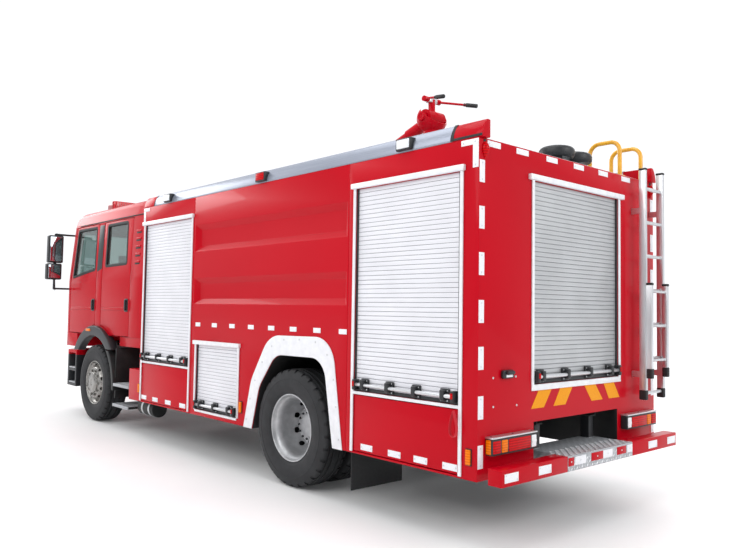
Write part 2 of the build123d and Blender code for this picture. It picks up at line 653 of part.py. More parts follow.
def roof_lamps():
    """Lamps on the rails, and a low searchlight housing on the roof."""
    lamps = []
    z0, z1 = BODY_TOP + 10, BODY_TOP + RAIL_HEIGHT * 0.8
    for x in (X_RAIL_FRONT - 371, (X_TANK_FRONT + X_TANK_REAR) / 2, (X_REAR_OPEN[0] + X_REAR_OPEN[1]) / 2):
        lamp = block(x - 80, x + 80, Y_BODY - 40, Y_BODY + 30, z0, z1)
        lamps += both_sides(lamp - rail_section(x - 90, x + 90))
    for x, y in ((X_BODY_REAR + 300, -150), (X_BODY_REAR + 330, -470)):
        pod = Pos(x, y, BODY_TOP + 150) * Cylinder(150, 95)
        pod = fillet(pod.edges().filter_by(GeomType.CIRCLE), 40)
        lamps.append(pod + rod((x, y, BODY_TOP), (x, y, BODY_TOP + 120), 45))
    return lamps


def slatted_outline(face, bottom, top, back):
    """A curtain's cross-section: flat slats with a groove between each pair."""
    count = max(int((top - bottom) / SLAT_PITCH), 2)
    pitch = (top - bottom) / count
    points = [(back, bottom)]
    for n in range(count):
        z = bottom + n * pitch
        points += [(face - SLAT_GROOVE, z), (face, z + 4), (face, z + pitch - 4)]
    return points + [(face - SLAT_GROOVE, top), (back, top)]


def roller_shutters():
    """Seven slatted curtains, shut: three on each side and one at the back."""
    face = Y_BODY - SHUTTER_INSET
    back = face - SHUTTER_THICKNESS
    curtains = []
    for (x0, x1), bottom, top in SIDE_SHUTTERS:
        curtains += both_sides(prism_x(slatted_outline(face, bottom, top, back), x0, x1))
    x = X_BODY_REAR + SHUTTER_INSET
    outline = slatted_outline(-x, REAR_SHUTTER_BOTTOM, SHUTTER_TOP, -x - SHUTTER_THICKNESS)
    curtains.append(prism_y([(-a, z) for a, z in outline], -REAR_SHUTTER_HALF, REAR_SHUTTER_HALF))
    return curtains


def shutter_frames():
    """Bright frames with a drip header round each curtain."""
    y0, y1 = Y_BODY, Y_BODY + FRAME_PROUD
    frames = []
    for (x0, x1), bottom, top in SIDE_SHUTTERS:
        foot = BODY_BOTTOM + 16 if bottom == SHUTTER_BOTTOM else bottom
        frame = block(x0 - FRAME_TRIM, x0, y0, y1, foot, top) + block(x1, x1 + FRAME_TRIM, y0, y1, foot, top)
        frame += block(x0 - FRAME_TRIM - 15, x1 + FRAME_TRIM + 15, y0, Y_BODY + HEADER_PROUD, top, top + HEADER_HEIGHT)
        frame += block(x0, x1, y0, y1, bottom - 24, bottom)
        frames += both_sides(frame)
    x0, x1, half = X_BODY_REAR, X_BODY_REAR - FRAME_PROUD, REAR_SHUTTER_HALF
    back = block(x1, x0, half, half + FRAME_TRIM, REAR_SHUTTER_BOTTOM, SHUTTER_TOP)
    back += block(x1, x0, -half - FRAME_TRIM, -half, REAR_SHUTTER_BOTTOM, SHUTTER_TOP)
    back += block(X_BODY_REAR - HEADER_PROUD, x0, -half - 70, half + 70, SHUTTER_TOP, SHUTTER_TOP + HEADER_HEIGHT)
    back += block(x1, x0, -half - FRAME_TRIM, half + FRAME_TRIM, REAR_SHUTTER_BOTTOM - 45, REAR_SHUTTER_BOTTOM)
    return frames + [back]


def lift_bars():
    """The lift bar across the foot of each curtain, on two brackets."""
    bars = []
    face = Y_BODY - SHUTTER_INSET
    y = face + LIFT_BAR_OUT
    for (x0, x1), bottom, top in SIDE_SHUTTERS:
        z = bottom + LIFT_BAR_RISE
        bar = rod((x0 + 30, y, z), (x1 - 30, y, z), LIFT_BAR_RADIUS)
        for x in (x0 + 90, x1 - 90):
            bar += block(x - 18, x + 18, face, y, z - 14, z + 14)
        bars += both_sides(bar)
    z, x = REAR_SHUTTER_BOTTOM + LIFT_BAR_RISE, X_BODY_REAR + SHUTTER_INSET
    bar = disc_y(x - LIFT_BAR_OUT, z, LIFT_BAR_RADIUS, 30 - REAR_SHUTTER_HALF, REAR_SHUTTER_HALF - 30)
    for y in (90 - REAR_SHUTTER_HALF, REAR_SHUTTER_HALF - 90):
        bar += block(x - LIFT_BAR_OUT, x, y - 18, y + 18, z - 14, z + 14)
    return bars + [bar]


def step_flap(opening):
    """A fold-down step under a locker, on the left, hinged along its lower outer edge."""
    x0, x1 = opening
    panel = block(x0 + FLAP_GAP, x1 - FLAP_GAP, Y_BODY - FLAP_THICKNESS, Y_BODY, FLAP_FOOT, FLAP_TOP)
    edge = panel.edges().filter_by(Axis.X).sort_by(Axis.Z)[:2].sort_by(Axis.Y)[-1]
    return fillet(edge, FLAP_HINGE_ROUND)


def ladder():
    """A two-section ladder stowed upright at the right of the rear wall, on stand-off brackets."""
    x = X_BODY_REAR - LADDER_OUT
    y0, y1 = LADDER_Y
    half = LADDER_STILE / 2
    whole = block(x - 30, x + 30, y0 - half, y0 + half, LADDER_LOW, LADDER_HIGH)
    whole += block(x - 30, x + 30, y1 - half, y1 + half, LADDER_LOW, LADDER_HIGH)
    count = int((LADDER_HIGH - LADDER_LOW - 120) / RUNG_PITCH)
    for n in range(count + 1):
        whole += disc_y(x, LADDER_HIGH - 172 - n * RUNG_PITCH, 15, y1, y0)
    x2 = x - 55
    for y in (y0 - 6, y1 + 25):
        whole += block(x2 - 24, x - 30, y - half, y + half, LADDER_FOLD_LOW, LADDER_FOLD_HIGH)
    for n in range(3):
        z = LADDER_FOLD_HIGH - 55 - n * RUNG_PITCH
        whole += disc_y(x2, z, 13, y1 + 25, y0 - 6)
    for z in (LADDER_LOW + 216, BODY_TOP - 300):
        for y in (y0, y1):
            whole += block(x + 30, X_BODY_REAR, y - half, y + half, z - 25, z + 25)
    return whole


def grab_hoops():
    """Two grab hoops on the roof, on both sides of the ladder's head."""
    hoops = []
    inside = RAIL_WIDTH + HOOP_RADIUS + 15 - Y_BODY
    for y in (LADDER_Y[0] + 108, inside):
        x0, x1, top = X_BODY_REAR + 55, X_BODY_REAR + 345, BODY_TOP + HOOP_HEIGHT
        hoops.append(tube_path([(x0, y, BODY_TOP), (x0, y, top), (x1, y, top), (x1, y, BODY_TOP)], HOOP_RADIUS, 90))
    return hoops


# Monitor


def monitor_riser():
    """The fixed pipe and flange that the monitor turns on."""
    x = X_MONITOR
    pipe = Pos(x, 0, BODY_TOP + 12) * Cylinder(150, 24)
    pipe += rod((x, 0, BODY_TOP), (x, 0, MONITOR_TURN_Z), 70)
    pipe += rod((x, 0, MONITOR_TURN_Z - 40), (x, 0, MONITOR_TURN_Z), 105)
    return pipe + rod((x, 0, MONITOR_TURN_Z), (x, 0, MONITOR_TURN_Z + 60), TURN_PIN_RADIUS)


def monitor_body():
    """The turning body: a neck on the riser's pin, under a bowl that carries the trunnions."""
    x, z0, z1 = X_MONITOR, MONITOR_TURN_Z + 5, MONITOR_TILT_Z
    inner = BOWL_RADIUS - BOWL_WALL
    bowl = Pos(x, 0, z1) * (Sphere(BOWL_RADIUS) - Sphere(inner))
    mouth = Pos(x, 0, z1) * Rot(0, -38, 0) * Pos(0, 0, 400 + BOWL_RADIUS * 0.2) * Box(800, 800, 800)
    slit = block(x, x + 2 * BOWL_RADIUS, -80, 80, z1 - 0.9 * BOWL_RADIUS, z1 + 2 * BOWL_RADIUS)
    body = bowl - mouth - slit
    neck = rod((x, 0, z0), (x, 0, z1), 85) - Pos(x, 0, z1) * Sphere(inner + BOWL_WALL / 2)
    body += neck
    body += rod((x, 0, z0), (x, 0, z0 + 35), 110)
    for side in (-1, 1):
        body += disc_y(x, z1, 45, side * (TRUNNION_Y + 6), side * (BOWL_RADIUS + 12))
    body -= rod((x, 0, z0 - 1), (x, 0, z0 + 62), TURN_PIN_RADIUS + RUNNING_CLEARANCE)
    return body - disc_y(x, z1, TRUNNION_PIN + RUNNING_CLEARANCE, -BOWL_RADIUS - 20, BOWL_RADIUS + 20)


def monitor_barrel():
    """The barrel between the trunnions, its nozzle, and the two handlebars behind it."""
    x, z = X_MONITOR, MONITOR_TILT_Z
    barrel = disc_y(x, z, 78, -TRUNNION_Y, TRUNNION_Y)
    barrel += disc_y(x, z, TRUNNION_PIN, -BOWL_RADIUS - 10, BOWL_RADIUS + 10)
    barrel += rod((x, 0, z), (x + 312, 0, z - 112), 60)
    barrel += rod((x + 302, 0, z - 108.4), (x + 585, 0, z - 210), 48)
    barrel += rod((x + 566, 0, z - 203.2), (x + 660, 0, z - 237), 68)
    barrel += rod((x, 0, z), (x + 10, 0, z + 188), 34)
    barrel += disc_y(x + 10, z + 186, 27, -112, 112)
    for head, end in ((Vector(x + 10, 95, z + 186), Vector(x - 290, 160, z + 130)),
                      (Vector(x + 10, -95, z + 186), Vector(x - 390, -200, z + 90))):
        along = (end - head).normalized()
        barrel += rod(tuple(head), tuple(end), 11)
        barrel += rod(tuple(end - along * 115), tuple(end - along * 20), 18)
    return barrel


# Cab


def cab_front_face(inset, z):
    """The cab's outline seen from above: a bowed front with rounded corners, running far out behind."""
    nose, corner = X_CAB_FRONT - inset, X_FRONT_AXLE + CAB_CORNER - inset
    y, x0 = Y_CAB + PLAN_EASE - inset, X_CAB_REAR - 1500
    edges = [ThreePointArc((corner, -y, z), (nose, 0, z), (corner, y, z))]
    edges += Polyline((corner, y, z), (x0, y, z), (x0, -y, z), (corner, -y, z)).edges()
    face = make_face(edges)
    return fillet(face.vertices().sort_by(Axis.X)[-2:], CORNER_ROUND - inset)


def cab_volume(inset, bottom):
    """The cab as one closed volume, with every outer face drawn in by inset."""
    low = extrude(cab_front_face(inset, bottom), amount=CAB_BELT - bottom, dir=(0, 0, 1))
    rise = CAB_ROOF + 10 - CAB_BELT
    lean = (-SCREEN_RAKE, 0, 1)
    high = extrude(cab_front_face(inset, CAB_BELT), amount=rise * (1 + SCREEN_RAKE**2) ** 0.5, dir=lean)
    y, roof, rear, front = Y_CAB - inset, CAB_ROOF - inset, X_CAB_REAR + inset, X_CAB_FRONT + 200
    under, edge, wide = bottom - 600, y - GUTTER_INSET - 55, Y_CAB + 200
    half = [(y, under), (y, CAB_BELT - 20), (y - GUTTER_INSET, CAB_GUTTER), (edge, roof - 30), (0, roof)]
    half += [(-py, pz) for py, pz in reversed(half[:-1])]
    section = FilletPolyline(*[(rear, py, pz) for py, pz in half], radius=ROOF_ROUND - inset, close=True)
    section = extrude(make_face(section), amount=front - rear, dir=(1, 0, 0))
    brow = X_CAB_FRONT - SCREEN_RAKE * (CAB_GUTTER + 40 - CAB_BELT) - inset
    drop = roof - CAB_GUTTER - 40 + inset
    profile = [(rear, under), (rear, roof), (brow - drop / BROW_SLOPE, roof),
               (front, roof - (front - brow) * BROW_SLOPE - drop), (front, under)]
    profile = FilletPolyline(*[(px, -wide, pz) for px, pz in profile], radius=ROOF_ROUND - inset, close=True)
    profile = extrude(make_face(profile), amount=2 * wide, dir=(0, 1, 0))
    side, tail = y + PLAN_EASE, rear - 3
    foot = FilletPolyline((tail, -side, under), (front + 300, -side, under), (front + 300, side, under), (tail, side, under),
                          radius=REAR_ROUND - inset / 2, close=True)
    foot = extrude(make_face(foot), amount=CAB_ROOF + 50 - under, dir=(0, 0, 1))
    return section & profile & foot & (low + high)


def door_outline(back, front, front_top, gap):
    """A door's outline in the XZ plane, grown by gap."""
    return [
        (X_FRONT_AXLE + back - gap, DOOR_BOTTOM - gap), (X_FRONT_AXLE + front + gap, DOOR_BOTTOM - gap),
        (X_FRONT_AXLE + front + gap, CAB_BELT - 8 * (DOOR_GAP - gap)), (X_FRONT_AXLE + front_top + gap, DOOR_TOP + gap),
        (X_FRONT_AXLE + back - gap, DOOR_TOP + gap),
    ]


def door_prism(door, gap):
    """A door's outline through the cab's left wall, cut round the wheel arch."""
    solid = prism_y(door_outline(*door, gap), Y_CAB - 200, Y_CAB + 100)
    reach = ARCH_RADIUS + FLARE_WIDTH + DOOR_GAP - gap + 8
    return solid - disc_y(X_FRONT_AXLE + ARCH_OFFSET, ARCH_Z, reach, Y_CAB - 300, Y_CAB + 200)


def window_prism(outline):
    """A side window's outline through the cab's left wall."""
    return prism_y([(X_FRONT_AXLE + x, z) for x, z in outline], Y_CAB - 200, Y_CAB + 100)


def build_cab():
    """The cab's fixed structure, roof, doors and glass, all cut from the same walls."""
    outside, inside = cab_volume(0, CAB_BOTTOM), cab_volume(CAB_WALL, CAB_BOTTOM + CAB_WALL)
    walls = outside - inside
    pane = cab_volume(GLASS_INSET, CAB_BOTTOM) - cab_volume(GLASS_INSET + GLASS_THICKNESS, CAB_BOTTOM)
    ring = outside - cab_volume(CAB_WALL, CAB_BOTTOM - 100)
    behind = cab_volume(CAB_WALL + DOOR_GAP, CAB_BOTTOM - 100)
    fixed = walls
    for name, door, outline in (
        ("front", FRONT_DOOR, FRONT_WINDOW),
        ("rear", REAR_DOOR, REAR_WINDOW),
    ):
        prism, window = door_prism(door, 0), window_prism(outline)
        left = (ring & prism) - window
        upright = left.edges().filter_by(Axis.Z).filter_by(lambda e: abs(e.center().Y - Y_CAB) < 0.01)
        left = fillet(upright.sort_by(Axis.X)[-1], DOOR_HINGE_ROUND)
        glass = pane & window
        save(f"door_{name}_left", left)
        save(f"door_{name}_right", mirror(left, Plane.XZ))
        save(f"glass_{name}_left", glass)
        save(f"glass_{name}_right", mirror(glass, Plane.XZ))
        fixed -= both_sides(door_prism(door, DOOR_GAP) - behind)
    screen = prism_x([(SCREEN_HALF, SCREEN_BOTTOM), (SCREEN_HALF - 45, SCREEN_TOP), (45 - SCREEN_HALF, SCREEN_TOP),
                      (-SCREEN_HALF, SCREEN_BOTTOM)], X_FRONT_AXLE + 700, X_CAB_FRONT + 60)
    fixed -= screen
    save("windscreen", pane & screen)
    above = block(X_CAB_REAR - 10, X_CAB_FRONT + 60, -Y_CAB - 10, Y_CAB + 10, CAB_GUTTER, CAB_ROOF + 20)
    save("cab_roof", fixed & above)
    body = fixed - above
    sill = block(X_CAB_REAR + 20, X_FRONT_AXLE - 740, Y_CAB - 250, Y_CAB - 10, CAB_SILL, CAB_BOTTOM)
    body += both_sides(sill)
    apron = cab_volume(0, CAB_SILL) & block(X_FRONT_AXLE + ARCH_OFFSET + ARCH_RADIUS + 30, X_CAB_FRONT + 50,
                                           -Y_CAB, Y_CAB, CAB_SILL, CAB_BOTTOM)
    skirt = cab_volume(0, APRON_LOW) & block(X_FRONT_AXLE + ARCH_OFFSET + ARCH_RADIUS + 30, X_CAB_FRONT + 50,
                                            APRON_INNER, Y_CAB, APRON_LOW, CAB_SILL + 20)
    apron += both_sides(skirt)
    body += apron
    pivot = X_FRONT_AXLE + TILT_PIVOT_X
    y1 = PIVOT_PLATE_Y - 6
    lug = block(pivot - 35, pivot + 35, y1 - 40, y1, TILT_PIVOT_Z, CAB_SILL)
    lug += disc_y(pivot, TILT_PIVOT_Z, 35, y1 - 40, y1)
    lug += disc_y(pivot, TILT_PIVOT_Z, TILT_PIN_RADIUS, y1 - 1, FRAME_HALF_WIDTH - 4)
    body += both_sides(lug)
    save("cab_body", body)


def wheel_flares():
    """Black lips round the front wheel openings, on the cab."""
    x, z = X_FRONT_AXLE + ARCH_OFFSET, ARCH_Z
    y0, y1 = Y_CAB - 50, Y_CAB + FLARE_OUT
    ring = disc_y(x, z, ARCH_RADIUS + FLARE_WIDTH, y0, y1) - disc_y(x, z, ARCH_RADIUS, y0 - 1, y1 + 1)
    ring &= block(x - 900, x, y0, y1, CAB_SILL - 60, 2000) + block(x, x + 900, y0, y1, BUMPER_HIGH + 15, 2000)
    ring -= block(x - 900, x + 900, y0 - 1, Y_CAB, CAB_BOTTOM, 2000)
    ring -= block(X_FRONT_AXLE + ARCH_OFFSET + ARCH_RADIUS + 30, x + 900, y0 - 1, Y_CAB, APRON_LOW, CAB_BOTTOM)
    return both_sides(ring)


def mirrors():
    """Tall and wide-angle mirror heads on two arms at each front pillar."""
    x = X_FRONT_AXLE + CAB_CORNER - 60
    y1 = Y_CAB + MIRROR_OUT
    y0 = y1 - MIRROR_WIDTH
    head = block(x - 10, x + 80, y0, y1, MIRROR_MIDDLE + 5, MIRROR_TOP)
    head += block(x - 10, x + 80, y0 + 15, y1 + 15, MIRROR_LOW, MIRROR_MIDDLE - 5)
    head = fillet(head.edges().filter_by(Axis.X), 22)
    post = (y0 + y1) / 2
    head += block(x + 20, x + 50, post - 15, post + 15, MIRROR_LOW - 150, MIRROR_TOP + 25)
    for z in (MIRROR_LOW - 135, MIRROR_TOP + 15):
        head += rod((x + 35, post, z), (x - 10, Y_CAB - 80, z), 14)
    return head - cab_volume(0, CAB_BOTTOM)


def sun_visor():
    """The dark visor over the windscreen, on the roof's brow."""
    x = X_CAB_FRONT - SCREEN_RAKE * (CAB_GUTTER + 40 - CAB_BELT)
    z = CAB_GUTTER
    outline = [(x - 160, z + 130), (x + 20, z + 60), (x + 175, z - 60), (x + 168, z - 78), (x - 20, z + 20)]
    return prism_y(outline, -VISOR_HALF, VISOR_HALF) - cab_volume(0, CAB_BOTTOM)


def light_bar():
    """The warning light bar across the cab's roof."""
    x, z = X_FRONT_AXLE + LIGHT_BAR_X, CAB_ROOF - 30
    bar = block(x - 130, x + 130, -LIGHT_BAR_HALF, LIGHT_BAR_HALF, z + 55, z + 55 + LIGHT_BAR_HEIGHT)
    bar = fillet(bar.edges().filter_by(Axis.Z), 60)
    for side in (-1, 1):
        y = side * LIGHT_BAR_HALF * 0.6
        bar += block(x - 90, x + 90, y - 60, y + 60, z - 60, z + 55)
    return bar - cab_volume(0, CAB_BOTTOM)


def cab_benches():
    """Two front seats and a rear bench on the cab's floor."""
    floor = CAB_BOTTOM + CAB_WALL
    chairs = []
    outer = Y_CAB - 230
    for x, y0, y1 in ((180, outer - 480, outer), (180, -outer, 480 - outer), (CAB_REAR + 400, -outer, outer)):
        xf = X_FRONT_AXLE + x
        chair = block(xf, xf + SEAT_DEPTH, y0, y1, floor + SEAT_HEIGHT - 170, floor + SEAT_HEIGHT)
        chair += block(xf + 60, xf + SEAT_DEPTH - 60, y0 + 60, y1 - 60, floor, floor + SEAT_HEIGHT - 170)
        chair += block(xf - 110, xf, y0, y1, floor + SEAT_HEIGHT - 170, floor + SEAT_BACK)
        chairs.append(chair)
    return chairs


def dashboard():
    """The dashboard shelf with the steering wheel on its column."""
    floor = CAB_BOTTOM + CAB_WALL
    x1 = X_FRONT_AXLE + CAB_CORNER - CAB_WALL - 60
    wide = Y_CAB - 220
    shelf = block(x1 - 330, x1, -wide, wide, floor, CAB_BELT - 120)
    shelf -= block(x1 - 331, x1 - 160, -wide - 1, wide + 1, floor - 1, floor + 380)
    column = Vector(-0.55, 0, 0.83)
    foot = Vector(x1 - 290, Y_CAB - 470, CAB_BELT - 260)
    head = foot + column * 230
    shelf += rod(tuple(foot), tuple(head + column * 12), 24)
    wheel = Plane(head, z_dir=column) * Circle(225) - Plane(head, z_dir=column) * Circle(190)
    wheel = extrude(wheel, amount=30) + extrude(Plane(head, z_dir=column) * Rectangle(60, 400), amount=26)
    return shelf + wheel


def main():
    os.makedirs("parts", exist_ok=True)
    front_wheels()
    rear_wheels()
    save("frame_rails", frame_rails())
    save("front_axle", front_axle())
    save("knuckle_left", knuckle())
    save("knuckle_right", mirror(knuckle(), Plane.XZ))
    save("rear_axle", rear_axle())
    save("leaf_springs", *leaf_springs())
    save("engine", engine())
    save("propeller_shaft", propeller_shaft())
    save("front_bumper", front_bumper())
    save("headlamps", *headlamps())
    save("rear_bumper", *rear_bumper())
    save("rear_step", rear_step())
    save("rear_lamps", *rear_lamps())
    save("cab_steps", *cab_steps())
    save("mud_flaps", *mud_flaps())
    save("front_locker", front_locker())
    save("rear_locker", rear_locker())
    save("water_tank", water_tank())
    save("arch_trims", *arch_trims())
    save("roof_rails", *roof_rails())
    save("rail_ends", *rail_ends())
    save("roof_lamps", *roof_lamps())
    save("roller_shutters", *roller_shutters())
    save("shutter_frames", *shutter_frames())
    save("lift_bars", *lift_bars())
    for name, opening in (("front", X_FRONT_OPEN), ("rear", X_REAR_OPEN)):
        save(f"flap_{name}_left", step_flap(opening))
        save(f"flap_{name}_right", mirror(step_flap(opening), Plane.XZ))
    save("ladder", ladder())
    save("grab_hoops", *grab_hoops())
    save("monitor_riser", monitor_riser())
    save("monitor_body", monitor_body())
    save("monitor_barrel", monitor_barrel())
    build_cab()
    save("wheel_flares", *wheel_flares())
    save("mirrors", *both_sides(mirrors()))
    save("sun_visor", sun_visor())
    save("light_bar", light_bar())
    save("cab_benches", *cab_benches())
    save("dashboard", dashboard())


if __name__ == "__main__":
    main()
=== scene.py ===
import json
import math

import bmesh
import bpy
from mathutils import Matrix, Vector

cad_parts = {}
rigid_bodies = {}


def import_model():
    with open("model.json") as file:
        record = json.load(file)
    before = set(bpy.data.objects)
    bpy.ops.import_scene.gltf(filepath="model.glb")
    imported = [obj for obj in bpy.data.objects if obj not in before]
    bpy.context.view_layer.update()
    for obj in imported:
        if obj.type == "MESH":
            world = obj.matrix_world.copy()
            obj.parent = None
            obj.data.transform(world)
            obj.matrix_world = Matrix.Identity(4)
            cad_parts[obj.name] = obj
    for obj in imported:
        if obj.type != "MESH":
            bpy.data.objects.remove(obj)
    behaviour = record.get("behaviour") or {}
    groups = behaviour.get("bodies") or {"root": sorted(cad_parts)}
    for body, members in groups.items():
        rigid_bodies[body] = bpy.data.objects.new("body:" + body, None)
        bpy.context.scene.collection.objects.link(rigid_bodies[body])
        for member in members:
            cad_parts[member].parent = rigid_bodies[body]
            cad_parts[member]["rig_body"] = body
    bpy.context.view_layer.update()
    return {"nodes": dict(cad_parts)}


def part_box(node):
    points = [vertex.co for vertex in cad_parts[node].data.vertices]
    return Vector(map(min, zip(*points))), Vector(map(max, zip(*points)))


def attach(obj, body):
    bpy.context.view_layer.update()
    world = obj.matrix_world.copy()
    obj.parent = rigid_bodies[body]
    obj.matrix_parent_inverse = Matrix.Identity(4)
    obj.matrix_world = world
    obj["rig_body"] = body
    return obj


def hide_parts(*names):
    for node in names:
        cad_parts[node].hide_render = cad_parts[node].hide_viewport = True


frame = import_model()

# Camera: it stands low, off the truck's left rear corner, as in the photograph,
# with the lens worked out from the truck's own edges and a slight roll kept.
yaw, pitch, roll = (math.radians(angle) for angle in (41.9524, 2.884, 0.8914))
ahead = Vector((math.cos(yaw) * math.cos(pitch), -math.sin(yaw) * math.cos(pitch), math.sin(pitch)))
right_hand = ahead.cross(Vector((0, 0, 1))).normalized()
overhead = right_hand.cross(ahead)
across = right_hand * math.cos(roll) + overhead * math.sin(roll)
upright = overhead * math.cos(roll) - right_hand * math.sin(roll)
bpy.ops.object.camera_add()
camera = bpy.context.object
turn = Matrix((across, upright, -ahead)).transposed()
camera.matrix_world = Matrix.Translation((-7.1037, 5.0639, 1.5796)) @ turn.to_4x4()
camera.data.sensor_width = 36
camera.data.lens = 35.375
bpy.context.scene.camera = camera


# Floor: a pale, plain studio floor of painted concrete, very slightly clouded.
# It carries the truck's soft shadow, and far out it fades into the glow of the white sweep.
def linear(code):
    """An sRGB hex colour as linear red, green and blue, with full alpha."""
    shares = [int(code[place:place + 2], 16) / 255 for place in (1, 3, 5)]
    return tuple(s / 12.92 if s <= 0.04045 else ((s + 0.055) / 1.055) ** 2.4 for s in shares) + (1.0,)


def new_finish(name, plain):
    """A new material with the plain settings of its shader, and its object coordinates."""
    made = bpy.data.materials.new(name)
    made.use_nodes = True
    for socket, value in plain.items():
        made.node_tree.nodes["Principled BSDF"].inputs[socket].default_value = value
    return made, made.node_tree.nodes.new("ShaderNodeTexCoord").outputs["Object"]


def add_node(made, kind, settings=None, links=None, into=None, out=0):
    """Adds one node with its settings and links, links it on to the shader if asked, and gives its output."""
    node = made.node_tree.nodes.new("ShaderNode" + kind)
    for key, value in (settings or {}).items():
        if key == "stops":
            while len(node.color_ramp.elements) < len(value):
                node.color_ramp.elements.new(1.0)
            for stop, (place, code) in zip(node.color_ramp.elements, value):
                stop.position = place
                stop.color = linear(code)
        elif isinstance(key, int) or key in node.inputs:
            node.inputs[key].default_value = value
        else:
            setattr(node, key, value)
    for key, source in (links or {}).items():
        made.node_tree.links.new(source, node.inputs[key])
    if into:
        made.node_tree.links.new(node.outputs[out], made.node_tree.nodes["Principled BSDF"].inputs[into])
    return node.outputs[out]


sweep_way = (math.cos(yaw), -math.sin(yaw), 0)
pale_concrete, place = new_finish("painted_concrete_floor",
                                  {"Roughness": 0.55, "Emission Color": linear("#FBFCFF")})
cloud = add_node(pale_concrete, "TexNoise", {"Scale": 0.7, "Detail": 4}, {"Vector": place})
paint = add_node(pale_concrete, "ValToRGB", {"stops": ((0.3, "#ECECEC"), (0.7, "#F1F1F0"))}, {"Fac": cloud})
squeezed = add_node(pale_concrete, "Mapping", {"Scale": (0.4, 1, 1)}, {"Vector": place})
away = add_node(pale_concrete, "VectorMath", {"operation": "LENGTH"}, {0: squeezed}, out=1)
fade = add_node(pale_concrete, "MapRange", {"interpolation_type": "SMOOTHSTEP", 1: 1.9, 2: 6.5}, {0: away})
add_node(pale_concrete, "Mix", {"data_type": "RGBA", 7: (0, 0, 0, 1)}, {0: fade, 6: paint}, into="Base Color",
         out=2)
add_node(pale_concrete, "MapRange", {3: 0.03, 4: 1.05}, {0: fade}, into="Emission Strength")
bpy.ops.object.select_all(action="DESELECT")
bpy.ops.mesh.primitive_plane_add(size=160)
floor = bpy.context.object
floor.name = "studio_floor"
floor.data.materials.append(pale_concrete)

# Light: a pale room with a white sweep behind the truck, a broad soft box high on its left,
# and weaker ones behind, overhead, on the right and in front, so that every side reads.
world = bpy.data.worlds.new("pale_room")
bpy.context.scene.world = world
world.use_nodes = True
room = world.node_tree
toward = room.nodes.new("ShaderNodeTexCoord")
facing_sweep = room.nodes.new("ShaderNodeVectorMath")
facing_sweep.operation = "DOT_PRODUCT"
facing_sweep.inputs[1].default_value = sweep_way
sweep = room.nodes.new("ShaderNodeMapRange")
sweep.interpolation_type = "SMOOTHSTEP"
sweep.inputs["From Min"].default_value = -0.9
sweep.inputs["From Max"].default_value = 0.92
sweep.inputs["To Min"].default_value = 0.52
sweep.inputs["To Max"].default_value = 1.08
room.links.new(toward.outputs["Generated"], facing_sweep.inputs[0])
room.links.new(facing_sweep.outputs["Value"], sweep.inputs["Value"])
room.links.new(sweep.outputs["Result"], room.nodes["Background"].inputs["Strength"])
room.nodes["Background"].inputs["Color"].default_value = linear("#FBFCFF")
bpy.context.scene.view_settings.view_transform = "Standard"
for place, size, power in (
    ((-3.0, 11.0, 8.5), (12.0, 6.0), 640),
    ((-13.0, -1.5, 7.0), (7.0, 5.0), 410),
    ((-1.0, 2.0, 12.0), (11.0, 6.0), 430),
    ((2.0, -11.0, 8.0), (12.0, 6.0), 700),
    ((13.0, 3.0, 7.0), (7.0, 5.0), 450),
):
    bpy.ops.object.light_add(type="AREA", location=place)
    softbox = bpy.context.object
    softbox.data.shape = "RECTANGLE"
    softbox.data.size, softbox.data.size_y = size
    softbox.data.energy = power
    softbox.rotation_euler = (Vector((0, 0, 1.2)) - Vector(place)).to_track_quat("-Z", "Y").to_euler()


# Body shell: welded steel lockers round a pressed-sided water tank, on the frame.
# It is sprayed in two-pack red enamel: deep, glossy, with a faint orange peel under the lacquer.
def only(piece):
    """Selects one object and makes it the active one."""
    bpy.ops.object.select_all(action="DESELECT")
    piece.select_set(True)
    bpy.context.view_layer.objects.active = piece


def round_edges(piece, width, segments=2, angle=35):
    """Bevels a piece's sharp edges and shades it smooth up to that angle."""
    only(piece)
    if width:
        bevel = piece.modifiers.new("edges", "BEVEL")
        bevel.width = width
        bevel.segments = segments
        bevel.limit_method = "ANGLE"
        bevel.angle_limit = math.radians(angle)
        bevel.use_clamp_overlap = False
        bevel.loop_slide = False
        bpy.ops.object.modifier_apply(modifier="edges")
    bpy.ops.object.shade_smooth_by_angle(angle=math.radians(angle))
    return piece


def carry(piece, body, finish=None):
    """Gives a finished piece its material and its body."""
    if finish:
        piece.data.materials.clear()
        piece.data.materials.append(finish)
    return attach(piece, body)


def dress(node, finish, width=0.003, segments=2):
    """Copies a CAD node's mesh, merges it, rounds its edges, and lets the copy stand for the node."""
    source = frame["nodes"][node]
    piece = bpy.data.objects.new(node + "_dressed", source.data.copy())
    bpy.context.scene.collection.objects.link(piece)
    only(piece)
    bpy.ops.mesh.customdata_custom_splitnormals_clear()
    bpy.ops.object.mode_set(mode="EDIT")
    bpy.ops.mesh.select_all(action="SELECT")
    bpy.ops.mesh.remove_doubles(threshold=0.00005)
    bpy.ops.mesh.dissolve_limited(angle_limit=math.radians(0.4))
    bpy.ops.mesh.quads_convert_to_tris(quad_method="BEAUTY", ngon_method="BEAUTY")
    bpy.ops.object.mode_set(mode="OBJECT")
    round_edges(piece, width, segments)
    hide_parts(node)
    return carry(piece, source["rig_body"], finish)


